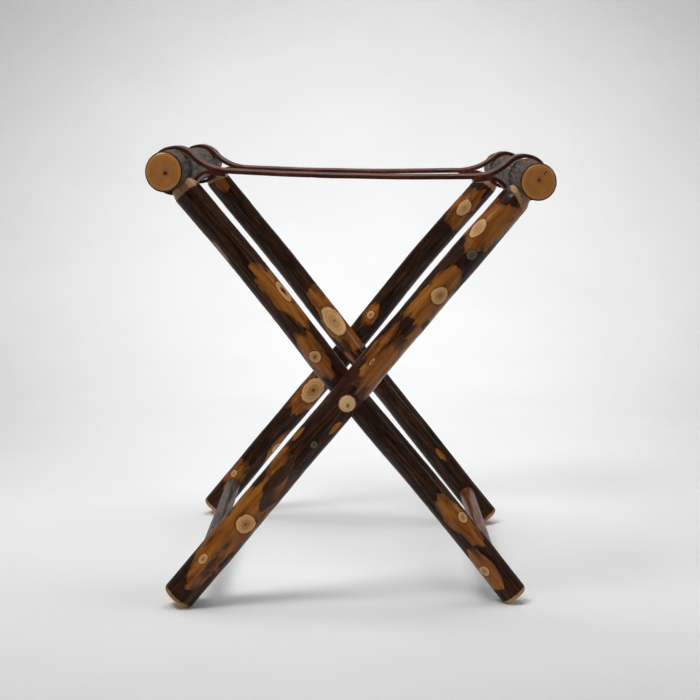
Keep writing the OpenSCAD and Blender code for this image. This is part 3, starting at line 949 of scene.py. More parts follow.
@dataclass
class Pole:
    """A sapling pole with bark relief, knots, shaved patches and worn ends.

    Attributes:
        name: Name of the piece.
        replaces: CAD node that it stands for.
        body: CAD body that it moves with.
        line: Its centreline.
        radius: Radius at a distance along it.
        first: Where it begins along the line.
        last: Where it ends.
        edge: Radius worn on its ends.
        knots: Its knots.
        patches: Its shaved patches.
        lumps_mm: Height of its natural unevenness.
        lumpiness: Its layers: how fine it is round the pole and per metre, and its share.
        dish: How far a knot's middle is dished, as a share of its swell.
        shaved_mm: Depth to which a patch is shaved.
        sides: Points round it.
        step: Length of the rings that it is cut into.
        shoulder: Length from the start that is shaved to flats, or 0.
        flats: How many flats go round there.
        cap_shares: Radii of the rings on its ends, as shares of its own.
    """

    name: str
    replaces: str
    body: str
    line: Line
    radius: Callable[[np.ndarray], np.ndarray]
    first: float
    last: float
    edge: float
    knots: Sequence[Knot] = ()
    patches: Sequence[Patch] = ()
    lumps_mm: float = 0.5
    lumpiness: tuple[tuple[float, float, float], ...] = ((0.9, 13, 1.0), (5.5, 70, 0.28))
    dish: float = 0.35
    shaved_mm: float = 0.55
    sides: int = 96
    step: float = 0.0026
    shoulder: float = 0.0
    flats: int = 9
    cap_shares: tuple[float, ...] = (0.985, 0.955, 0.915, 0.87, 0.8, 0.66, 0.5, 0.34, 0.18)

    def build(self) -> bpy.types.Object:
        """Make the pole, lay it on its line and bind it to its body.

        Returns:
            The finished piece.
        """
        obj = start_mesh(
            lambda: bpy.ops.mesh.primitive_cylinder_add(
                vertices=self.sides, radius=1, depth=1, location=(0, 0, 0.5), end_fill_type="NGON"
            ),
            self.name,
        )
        bpy.ops.object.transform_apply(location=True, rotation=True, scale=True)
        self._ring_the_sides(obj)
        self._ring_the_ends(obj)
        self._shape(obj)
        smooth(obj)
        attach(obj, self.body)
        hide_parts(self.replaces)
        return obj

    def _ring_the_sides(self, obj: bpy.types.Object) -> None:
        """Cut the sides into short rings, in two rounds.

        Args:
            obj: The object.
        """
        wanted = (self.last - self.first) / self.step
        cuts = max(3, round(math.sqrt(wanted)))
        for _ in range(2):
            places = coordinates(obj)
            upright = [
                e.index
                for e in obj.data.edges
                if abs(places[e.vertices[0]][2] - places[e.vertices[1]][2]) > 1e-6
            ]
            pick(obj, edges=upright)
            bpy.ops.mesh.subdivide(number_cuts=cuts - 1)
            bpy.ops.object.mode_set(mode="OBJECT")

    def _ring_the_ends(self, obj: bpy.types.Object) -> None:
        """Inset both end faces ring by ring down to a fan at the middle.

        Args:
            obj: The object.
        """
        shares = (1.0, *self.cap_shares)
        for wider, narrower in zip(shares, shares[1:]):
            caps = [p.index for p in obj.data.polygons if len(p.vertices) > 4]
            pick(obj, faces=caps)
            bpy.ops.mesh.inset(thickness=(wider - narrower) * math.cos(math.pi / self.sides), depth=0)
            bpy.ops.object.mode_set(mode="OBJECT")
        pick(obj, faces=[p.index for p in obj.data.polygons if len(p.vertices) > 4])
        bpy.ops.mesh.poke()
        bpy.ops.object.mode_set(mode="OBJECT")

    def _unevenness(self, angle: np.ndarray, along: np.ndarray) -> np.ndarray:
        """Natural lumps of the sapling, in metres.

        Args:
            angle: Angle of each point round the pole.
            along: Distance of each point along the pole.

        Returns:
            Height of the lumps at each point.
        """
        seed = float(sum(map(ord, self.name)) % 97)
        lumps = np.empty(len(angle))
        for i, (a, s) in enumerate(zip(angle.tolist(), along.tolist())):
            ring = Vector((math.cos(a), math.sin(a), 0))
            lumps[i] = sum(
                share * noise.noise(ring * around + Vector((0, 0, s * per_metre + seed)))
                for around, per_metre, share in self.lumpiness
            )
        return lumps * self.lumps_mm * MM

    def _shape(self, obj: bpy.types.Object) -> None:
        """Turn the unit cylinder into the pole and lay it on the line.

        Args:
            obj: The object.
        """
        unit = coordinates(obj)
        share = np.minimum(1.0, np.hypot(unit[:, 0], unit[:, 1]))
        angle = np.arctan2(unit[:, 0], -unit[:, 1])
        on_cap = share < 0.9999
        low = unit[:, 2] < 0.5
        along = self.first + self.edge + unit[:, 2] * (self.last - self.first - 2 * self.edge)
        full = self.radius(along)
        worn = np.maximum(0.0, share * full - (full - self.edge))
        dip = self.edge - np.sqrt(np.maximum(0.0, self.edge**2 - worn**2))
        along = np.where(on_cap, np.where(low, self.first + dip, self.last - dip), along)
        relief = self._unevenness(angle, along)
        for knot in self.knots:
            d = self._spread(angle, along, full, knot)
            swell = np.exp(-((d / 1.5) ** 2)) - self.dish * np.exp(-((d / 0.75) ** 4))
            relief += knot.swell * MM * swell
        for patch in self.patches:
            d = self._spread(angle, along, full, patch)
            relief -= self.shaved_mm * MM * np.exp(-(d**4))
        if self.shoulder:
            near = np.clip((self.shoulder - along) / (0.4 * self.shoulder), 0, 1)
            half = math.pi / self.flats
            phase = np.mod(angle + along * 9, 2 * half) - half
            relief += near * full * (math.cos(half) / np.cos(phase) - 0.975)
        reach = (full + relief) * share
        sideways, outward = reach * np.sin(angle), reach * np.cos(angle)
        store_vectors(obj, "grain", np.stack([sideways, -outward, along], 1))
        store_numbers(obj, "cut", np.where(on_cap, 1.0, 0.0))
        set_coordinates(obj, self.line.lay(along, sideways, outward))

    @staticmethod
    def _spread(angle: np.ndarray, along: np.ndarray, radius: np.ndarray, spot: Spot) -> np.ndarray:
        """Distance from a feature on the surface, 1 at its edge."""
        gap = np.abs(np.mod(angle - math.radians(spot.turn) + math.pi, TAU) - math.pi) * radius
        return np.hypot(gap / (spot.half_around * MM), (along - spot.along * MM) / (spot.half_along * MM))


# ----------------------------------------------------------------------------------------------
# The rack's places, read from the frame
# ----------------------------------------------------------------------------------------------


@dataclass(frozen=True)
class Rack:
    """Places that the pieces share, taken from the CAD record and boxes.

    Attributes:
        left_rail: Point on the left rail's axis.
        right_rail: Point on the right rail's axis.
        pivot: Point on the pivot's axis.
        record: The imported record.
    """

    left_rail: Vector
    right_rail: Vector
    pivot: Vector
    record: dict

    @classmethod
    def read(cls, frame: dict) -> "Rack":
        """Read the joints of the record.


        Returns:
            The rack's places.
        """
        joints = {j["name"]: Vector(j["pos_m"]) for j in frame["record"]["behaviour"]["joints"]}
        return cls(joints["front_left_loop"], joints["front_right_loop"], joints["fold"], frame["record"])

    def foot_flat(self, leg: str) -> Vector:
        """Middle of the flat that a leg's foot stands on."""
        mounts = {m["name"]: Vector(m["pos_m"]) for m in self.record["mounts"]}
        return mounts[f"{leg}_foot"]


def middle(node: str) -> Vector:
    """Middle of a CAD node's box."""
    low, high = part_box(node)
    return (low + high) / 2


def extent(node: str) -> Vector:
    """Size of a CAD node's box."""
    low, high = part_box(node)
    return high - low


def between(first: float, last: float, turn: float, half_around: float, **more: float) -> Patch:
    """A shaved patch given by the distances at which it begins and ends, mm."""
    return Patch((first + last) / 2, turn, (last - first) / 2, half_around, **more)


# ----------------------------------------------------------------------------------------------
# Sub-assemblies
# ----------------------------------------------------------------------------------------------

# End grain sawn across and worn on floors: dull tan with faint rings.
LEG_ENDS = EndFinish(
    heart="#a07845",
    ring="#775029",
    sap="#b28a58",
    pith="#4d2f19",
    bark="#8a6237",
    pith_at_mm=(1.0, -1.0),
    pith_mm=1.4,
    rings_per_mm=0.55,
    sap_from=0.62,
    bark_from=0.985,
    gloss=0.5,
    coat=0.1,
)


@dataclass(frozen=True)
class LegPlan:
    """What tells one leg from another.

    Attributes:
        name: Name of the CAD node without "_leg".
        body: CAD body of its frame.
        diameters: Diameter at the top and at the foot, mm.
        sweep_mm: Natural bend at the quarters, mm.
        knots: Its knots.
        patches: Its shaved patches.
        collar: Length of the pale shoulder, metres, and the lean of its edge.
        lumps_mm: Unevenness.
    """

    name: str
    body: str
    diameters: tuple[float, float]
    sweep_mm: tuple[float, float, float]
    knots: tuple[Knot, ...]
    patches: tuple[Patch, ...]
    collar: tuple[float, float] = (0.031, 0.0)
    lumps_mm: float = 0.75


OUTER_FRONT = LegPlan(
    name="outer_front",
    body="outer_frame",
    diameters=(36.0, 39.5),
    sweep_mm=(1.6, 0.9, 0.3),
    knots=(
        Knot(82, 43, 13, 8, KnotKind.PALE, 1.3),
        Knot(109.6, -8, 6.4, 6.0, KnotKind.GREY, 0.5),
        Knot(168.8, -17, 10.8, 10.0, KnotKind.RINGED, 1.2),
        Knot(277, 17, 5.0, 1.8, KnotKind.SLIT, 0.6),
        Knot(394.7, -15, 4.4, 4.0, KnotKind.GREY, 0.3),
        Knot(518.4, -12.5, 12.4, 11.6, KnotKind.RINGED, 1.2),
        Knot(583, 24, 7.2, 4.8, KnotKind.RINGED, 0.8),
        Knot(236, 168, 9, 8, KnotKind.RINGED, 1.0),
        Knot(462, 150, 7, 6, KnotKind.PALE, 0.8),
    ),
    patches=(
        between(42, 106, 22, 21, residue=0.3),
        between(34, 66, -48, 9, residue=0.3),
        between(134, 214, -10, 23, residue=0.3),
        between(224, 318, -10, 20, residue=0.6),
        between(206, 262, -48, 11, residue=0.3),
        between(426, 604, 14, 24, residue=0.5),
        between(430, 484, -20, 13, residue=1.7),
        between(388, 408, 62, 5),
        between(356, 378, -39, 4),
        between(200, 268, 168, 17),
        between(440, 520, 140, 15, residue=0.5),
    ),
    collar=(0.029, 0.4),
    lumps_mm=1.1,
)
OUTER_REAR = LegPlan(
    name="outer_rear",
    body="outer_frame",
    diameters=(32.5, 34.0),
    sweep_mm=(4.2, 0.6, 1.2),
    knots=(
        Knot(76, 7, 13.5, 8.5, KnotKind.PALE, 1.3),
        Knot(278, 22, 6, 5.4, KnotKind.RINGED, 0.8),
        Knot(416, 0, 21, 14.5, KnotKind.RINGED, 1.4),
        Knot(516.5, -64, 9, 8, KnotKind.PALE, 1.0),
        Knot(585, 36, 5.4, 5, KnotKind.RINGED, 0.8),
        Knot(190, -160, 10, 8, KnotKind.RINGED, 1.0),
    ),
    patches=(
        between(44, 112, 12, 17),
        between(262, 296, 22, 9),
        between(382, 452, 0, 20),
        between(562, 608, 30, 13),
        between(170, 212, -160, 13),
        between(480, 545, -70, 12),
    ),
)
INNER_FRONT = LegPlan(
    name="inner_front",
    body="inner_frame",
    diameters=(34.2, 32.6),
    sweep_mm=(2.4, -0.8, 1.6),
    knots=(
        Knot(192, 57, 15, 6.5, KnotKind.SLIT, 1.2),
        Knot(275, -12, 7.4, 6.8, KnotKind.RINGED, 1.0),
        Knot(535.5, 41, 7.4, 6.2, KnotKind.RINGED, 1.0),
        Knot(603.5, -37, 7.2, 6.8, KnotKind.RINGED, 1.0),
        Knot(430, 165, 9, 8, KnotKind.PALE, 1.0),
    ),
    patches=(
        between(148, 238, 40, 15, residue=0.45),
        between(238, 308, -9, 13, residue=0.4),
        between(500, 572, 24, 13, ragged=0.4, residue=0.2),
        between(570, 634, -33, 12, ragged=0.4, residue=0.2),
        between(404, 460, 165, 14),
        between(92, 128, -60, 5),
    ),
)
INNER_REAR = LegPlan(
    name="inner_rear",
    body="inner_frame",
    diameters=(31.4, 33.0),
    sweep_mm=(2.4, 1.2, 0.7),
    knots=(
        Knot(287, 17, 23, 13.5, KnotKind.PALE, 1.4),
        Knot(278, 46, 4.5, 4, KnotKind.RINGED, 0.4),
        Knot(470, -150, 9, 8, KnotKind.RINGED, 1.0),
    ),
    patches=(
        between(28, 52, 12, 8),
        between(234, 342, 24, 17),
        between(330, 352, -42, 5),
        between(522, 544, 20, 4),
        between(448, 496, -150, 13),
    ),
    collar=(0.031, -0.3),
)


@dataclass
class Leg:
    """One leg: a bark-on sapling with a shaved shoulder at the rail and a worn foot.

    Attributes:
        plan: What tells it from the other legs.
        rack: The rack's places.
        shoulder_end: Distance from the rail's axis at which the shaved shoulder ends.
        shoulder_radius: Its radius where it enters the rail.
        foot_edge: Radius worn on both ends.
        foot_worn: Height of the pale worn foot.
        foot_flat: Depth of the flat worn under it.
        into_rail: How far the shoulder reaches into the rail's skin.
        washer_thickness: Thickness of a thrust washer.
        washer_gap: Air between it and its seat.
        seat_radius: Radius of the flat that is cut for it.
        seat_depth: How deep that cut is open towards the other leg.
        plug_gap: Air round the plug.
        plug_way_out: How far the plug's hole is cut outwards from its floor.
    """

    plan: LegPlan
    rack: Rack
    shoulder_end: float = 0.033
    shoulder_radius: float = 0.0120
    foot_edge: float = 0.005
    foot_worn: float = 0.0055
    foot_flat: float = 0.0008
    into_rail: float = 0.002
    washer_thickness: float = 0.003
    washer_gap: float = 0.0001
    seat_radius: float = 0.014
    seat_depth: float = 0.01
    plug_gap: float = 0.00012
    plug_way_out: float = 0.03

    def build(self) -> bpy.types.Object:
        """Make the leg.

        Returns:
            The finished piece.
        """
        plan = self.plan
        node = f"{plan.name}_leg"
        rail = self.rack.right_rail if plan.body == "outer_frame" else self.rack.left_rail
        y = middle(node).y
        start = Vector((rail.x, y, rail.z))
        line = Line(start, self._foot(start, y), Vector((0, -1, 0)), plan.sweep_mm)
        top, foot = (d / 2 * MM for d in plan.diameters)
        rail_radius = extent("right_rail" if plan.body == "outer_frame" else "left_rail").z / 2
        first = rail_radius - self.into_rail

        def radius(along: np.ndarray) -> np.ndarray:
            body = top + (foot - top) * along / line.length
            share = np.clip((along - first) / (self.shoulder_end - first), 0, 1)
            eased = np.sin(share * math.pi / 2) ** 1.15
            return self.shoulder_radius + (body - self.shoulder_radius) * eased

        pole = Pole(
            name=f"{node}_pole",
            replaces=node,
            body=plan.body,
            line=line,
            radius=radius,
            first=first,
            last=line.length,
            knots=plan.knots,
            patches=plan.patches,
            edge=self.foot_edge,
            lumps_mm=plan.lumps_mm,
            shoulder=self.shoulder_end,
        )
        obj = pole.build()
        self._stand(obj)
        self._drill(obj, y)
        material = BarkMaterial(
            f"lacquered_hickory_bark_{plan.name}",
            Slot.BARK,
            LEG_BARK,
            (top + foot) / 2,
            LEG_ENDS,
            plan.knots,
            plan.patches,
            shoulder=plan.collar[0],
            tilt=plan.collar[1],
            foot_at=line.length - self.foot_worn,
        )
        dress(obj, material.build())
        return obj

    def _foot(self, start: Vector, y: float) -> Vector:
        """Middle of the foot's end, found from the flat that it stands on.

        Args:
            start: The leg's start, on the rail's axis.
            y: Y of the leg.

        Returns:
            The place.
        """
        flat = self.rack.foot_flat(self.plan.name)
        radius = self.plan.diameters[1] / 2 * MM
        foot = Vector((flat.x, y, 0))
        for _ in range(6):
            heading = (foot - start).normalized()
            up = Vector((-heading.z, 0, heading.x))
            up = up if up.z > 0 else -up
            ring = Vector((flat.x, y, self.foot_edge - self.foot_flat))
            foot = ring + up * (radius - self.foot_edge) + heading * self.foot_edge
        return foot

    def _stand(self, obj: bpy.types.Object) -> None:
        """Wear the foot flat where it meets the floor.

        Args:
            obj: The object.
        """
        places = coordinates(obj)
        places[:, 2] = np.maximum(places[:, 2], 0.0)
        set_coordinates(obj, places)

    def _drill(self, obj: bpy.types.Object, y: float) -> None:
        """Cut the flat for the thrust washer, and the plug's hole in an outer leg.

        Args:
            obj: The object.
            y: Y of the leg.
        """
        outer = self.plan.body == "outer_frame"
        side = -1 if y < 0 else 1
        near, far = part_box("thrust_washers")
        washer = near.y if side < 0 else far.y
        if outer:
            seat, opening = washer + side * self.washer_gap, -side * self.seat_depth
        else:
            seat = washer - side * (self.washer_thickness + self.washer_gap)
            opening = side * self.seat_depth
        self._cut_cylinder(obj, self.seat_radius, seat, seat + opening)
        if outer:
            plug = "front_pivot_plug" if side < 0 else "rear_pivot_plug"
            inner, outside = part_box(plug)
            floor = outside.y if side < 0 else inner.y
            self._cut_cylinder(
                obj, extent("front_pivot_plug").x / 2 + self.plug_gap, floor, floor + side * self.plug_way_out
            )

    def _cut_cylinder(self, obj: bpy.types.Object, radius: float, y0: float, y1: float) -> None:
        """Cut a round recess along the pivot's axis.

        Args:
            obj: The object.
            radius: Radius.
            y0: Y at one end.
            y1: Y at the other end.
        """
        at = (self.rack.pivot.x, (y0 + y1) / 2, self.rack.pivot.z)
        cutter = start_mesh(
            lambda: bpy.ops.mesh.primitive_cylinder_add(
                vertices=96, radius=radius, depth=abs(y1 - y0), location=at, rotation=(math.pi / 2, 0, 0)
            ),
            "cutter",
        )
        apply_modifier(obj, "BOOLEAN", operation="DIFFERENCE", solver="EXACT", object=cutter)
        bpy.data.objects.remove(cutter)


# End grain sawn, oiled and lacquered: orange-brown rings round a dark pith, under a clear gloss.
LEFT_RAIL_ENDS = EndFinish(
    heart="#b3722e",
    ring="#774414",
    sap="#ad7230",
    pith="#1d0f07",
    bark="#2e1a0f",
    pith_at_mm=(-1.6, -1.8),
    pith_mm=1.7,
    rings_per_mm=0.36,
    sap_from=0.80,
    bark_from=0.915,
)
RIGHT_RAIL_ENDS = EndFinish(
    heart="#b8752c",
    ring="#7b4412",
    sap="#b0732f",
    pith="#4a1d0d",
    bark="#311c10",
    pith_at_mm=(1.6, 0.6),
    pith_mm=1.7,
    rings_per_mm=0.40,
    sap_from=0.78,
    bark_from=0.915,
    crack_deg=132.0,
)


@dataclass
class Rail:
    """A top rail: a dry grey bark-on pole along Y with sawn, oiled ends.

    Attributes:
        name: Name of the CAD node.
        body: CAD body that it moves with.
        ends: Look of its ends.
        wide: Width over the CAD solid's, at the front and at the back.
        tall: Height over the CAD solid's, at the front and at the back.
        rise_mm: How much higher the front end's middle sits.
        crown_mm: Height of the swelling on top just in front of the front strap.
        crown_ahead: How far in front of the strap it is highest.
        crown_reach: How far it runs out along the rail.
        edge: Radius worn on its ends.
    """

    name: str
    body: str
    ends: EndFinish
    wide: tuple[float, float]
    tall: tuple[float, float]
    rise_mm: float = 0.0
    crown_mm: float = 1.2
    crown_ahead: float = 0.004
    crown_reach: float = 0.013
    edge: float = 0.004

    def build(self) -> bpy.types.Object:
        """Make the rail.

        Returns:
            The finished piece.
        """
        low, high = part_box(self.name)
        centre = middle(self.name)
        length = high.y - low.y
        size = (high.z - low.z) / 2
        start, end = (Vector((centre.x, y, centre.z)) for y in (low.y, high.y))
        pole = Pole(
            name=f"{self.name}_pole",
            replaces=self.name,
            body=self.body,
            line=Line(start, end, Vector((-1, 0, 0))),
            radius=lambda along: np.full(len(along), size),
            first=0.0,
            last=length,
            edge=self.edge,
            lumps_mm=0.3,
        )
        obj = pole.build()
        places = coordinates(obj)
        share = (places[:, 1] - low.y) / length
        free = self._free(places[:, 1])
        wide, tall = (k[0] + (k[1] - k[0]) * share for k in (self.wide, self.tall))
        places[:, 0] = centre.x + (places[:, 0] - centre.x) * np.where(wide > 1, 1 + (wide - 1) * free, wide)
        height = places[:, 2] - centre.z
        crown_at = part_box("front_strap_left")[0].y - self.crown_ahead
        crown = self.crown_mm * MM * np.exp(-(((places[:, 1] - crown_at) / self.crown_reach) ** 2))
        crown *= np.clip(height / size, 0, 1)
        grown = height * (tall - 1) + self.rise_mm * MM * (1 - share) + crown
        places[:, 2] = centre.z + height + grown * free
        set_coordinates(obj, places)
        material = BarkMaterial(f"dry_grey_bark_{self.name}", Slot.RAIL, RAIL_BARK, size, self.ends)
        dress(obj, material.build())
        return obj

    @staticmethod
    def _free(y: np.ndarray) -> np.ndarray:
        """How far a place is clear of the straps' loops: 0 under them and 1 away from them.

        Args:
            y: Y of each point.

        Returns:
            A value from 0 to 1 for each point.
        """
        free = np.ones(len(y))
        for strap in ("front_strap_left", "rear_strap_left"):
            low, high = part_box(strap)
            outside = np.maximum(low.y - y, y - high.y)
            free *= np.clip((outside - 0.0006) / 0.003, 0, 1)
        return free


@dataclass
class Stretcher:
    """A thin stick between the feet of one frame.

    Attributes:
        name: Name of the CAD node.
        body: CAD body that it moves with.
        solid: The CAD node's object.
        bark: Its finish.
        knots: Its knots.
        radius: Its radius.
        hidden: How much of each end is left out inside the legs.
    """

    name: str
    body: str
    solid: bpy.types.Object
    bark: BarkFinish
    knots: tuple[Knot, ...]
    radius: float = 0.010
    hidden: float = 0.006

    def build(self) -> bpy.types.Object:
        """Make the stretcher between the places where it enters the legs.

        Returns:
            The finished piece.
        """
        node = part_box(self.name)
        places = coordinates(self.solid)
        ends = [places[np.abs(places[:, 1] - y) < 0.001].mean(0) for y in (node[0].y, node[1].y)]
        start, end = Vector(ends[0]), Vector(ends[1])
        line = Line(start, end, Vector((-1, 0, 0)))
        pole = Pole(
            name=f"{self.name}_stick",
            replaces=self.name,
            body=self.body,
            line=line,
            radius=lambda along: np.full(len(along), self.radius),
            first=self.hidden,
            last=line.length - self.hidden,
            knots=self.knots,
            edge=0.001,
            lumps_mm=0.35,
            sides=56,
            step=0.0035,
        )
        obj = pole.build()
        name = f"thin_bark_{self.name}"
        material = BarkMaterial(name, Slot.STRETCHER, self.bark, self.radius, LEG_ENDS, self.knots)
        dress(obj, material.build())
        return obj


@dataclass
class Plug:
    """The sanded wooden plug over a pivot screw, end grain outwards.

    Attributes:
        name: Name of the CAD node.
        leg: The leg that it sits in.
        rack: The rack's places.
        fit: How much thinner it is than its CAD solid, on the radius.
        rings: Widths of the rings on its face, from the rim inwards.
        eased: Height worn off its rim.
    """

    name: str
    leg: str
    rack: Rack
    fit: float = 0.00005
    rings: tuple[float, ...] = (0.0005, 0.0012, 0.0018, 0.002, 0.002)
    eased: float = 0.0006

    def build(self) -> bpy.types.Object:
        """Make the plug: a disc whose face follows the leg's roundness.

        Returns:
            The finished piece.
        """
        low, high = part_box(self.name)
        centre = middle(self.name)
        radius = (high.x - low.x) / 2
        front = centre.y < 0
        obj = start_mesh(
            lambda: bpy.ops.mesh.primitive_cylinder_add(
                vertices=96,
                radius=radius - self.fit,
                depth=high.y - low.y,
                location=centre,
                rotation=(math.pi / 2 if front else -math.pi / 2, 0, 0),
                end_fill_type="NGON",
            ),
            f"{self.name}_wood",
        )
        bpy.ops.object.transform_apply(location=True, rotation=True, scale=True)
        outer = (min if front else max)(obj.data.polygons, key=lambda p: p.center.y)
        pick(obj, faces=[outer.index])
        for width in self.rings:
            bpy.ops.mesh.inset(thickness=width, depth=0)
        bpy.ops.mesh.poke()
        bpy.ops.object.mode_set(mode="OBJECT")
        self._crown(obj, centre, radius, front)
        smooth(obj, 50)
        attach(obj, "outer_frame")
        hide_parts(self.name)
        dress(obj, self._material(centre))
        return obj

    def _crown(self, obj: bpy.types.Object, centre: Vector, radius: float, front: bool) -> None:
        """Follow the leg's roundness and ease the rim.

        Args:
            obj: The object.
            centre: The plug's middle.
            radius: The plug's radius.
            front: Whether it is the front one.
        """
        low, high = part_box(self.name)
        crown = low.y if front else high.y
        sign = 1 if front else -1
        leg_radius = extent(self.leg).y / 2
        joint = self.rack.right_rail - self.rack.pivot
        heading = Vector((joint.x, 0, joint.z)).normalized()
        places = coordinates(obj)
        outer = np.abs(places[:, 1] - crown) < (high.y - low.y) / 2
        across = (places[:, 0] - centre.x) * heading.z - (places[:, 2] - centre.z) * heading.x
        fall = leg_radius - np.sqrt(np.maximum(0, leg_radius**2 - across**2))
        share = np.hypot(places[:, 0] - centre.x, places[:, 2] - centre.z) / radius
        ease = self.eased * np.clip((share - 0.9) / 0.1, 0, 1) ** 2
        places[:, 1] = np.where(outer, crown + sign * (fall + ease), places[:, 1])
        set_coordinates(obj, places)

    def _material(self, centre: Vector) -> Graph:
        """Cream end grain with a small brown pith below the middle.

        Its rings are 1.25 mm apart. Its pores are finer than the 0.8 mm at which they are drawn.

        Args:
            centre: The plug's middle.

        Returns:
            The finished graph.
        """
        g = Graph(f"sanded_end_grain_{self.name}", Slot.PLUG)
        at = g.add(Node.FROM, g.add(Node.PLACE, out="Object"), tuple(centre))
        flat = g.add(Node.STRETCH, at, (1, 0, 1))
        offset = g.add(Node.FROM, flat, (0.0006, 0, -0.0022))
        reach = g.add(Node.LENGTH, g.add(Node.STRETCH, offset, (1, 0, 0.8)))
        wobble = g.add(Node.TIMES, g.add(Node.MINUS, g.add(Node.NOISE, flat, 160, 3, 0.55), 0.5), 0.0022)
        ring_at = g.add(Node.PLUS, reach, wobble)
        wave = g.add(Node.SINE, g.add(Node.TIMES, ring_at, TAU * 0.8 / MM))
        speck = g.add(Node.NOISE, g.add(Node.STRETCH, at, (1, 0.1, 1)), 1300, 4, 0.6)
        band = g.add(Node.TIMES_PLUS, wave, 0.12, g.add(Node.TIMES, speck, 0.85))
        color = g.add(Node.RAMP, band, stops=[(0.2, "#b0854c"), (0.42, "#d2aa6f"), (0.66, "#e2c18c")])
        pith = g.add(Node.STEP, ring_at, 0.0032, 0.0008)
        color = g.add(Node.MIX, g.add(Node.TIMES, pith, 0.95), color, linear("#67391a"))
        rim = g.add(Node.STEP, g.add(Node.LENGTH, flat), 0.0090, 0.0100)
        color = g.add(Node.MIX, g.add(Node.TIMES, rim, 0.7), color, linear("#4b3220"))
        return g.finish(color, 0.4, band, 0.08, Coat_Weight=0.2, Coat_Roughness=0.3)


@dataclass(frozen=True)
class StrapPlan:
    """The measures of one strap, mm, as in the CAD solid that it stands for.

    Attributes:
        side: Front or rear.
        slack: How loose its loops are on the rails.
        left_rise: Height over the left rail's axis at which it comes level.
        right_rise: Height over the right rail's axis at which it comes level.
        sag: How far it hangs in its middle.
    """

    side: str
    slack: float
    left_rise: float
    right_rise: float
    sag: float


@dataclass(frozen=True)
class Loop:
    """A strap's loop about its own middle, with the first axis pointing inboard, metres.

    Attributes:
        radius: Radius of its middle layer round the rail.
        upper: Centre of the arc from the rail to the level strap.
        upper_radius: Radius of that arc.
        lower: Centre of the arc from the rail to the tail.
        lower_radius: Radius of that arc.
        lap_radius: Radius at which the tail lies under the strap.
        lap_end: Angle at which the tail leaves it.
        slope: Slope at which the strap goes on.
    """

    radius: float
    upper: np.ndarray
    upper_radius: float
    lower: np.ndarray
    lower_radius: float
    lap_radius: float
    lap_end: float
    slope: float


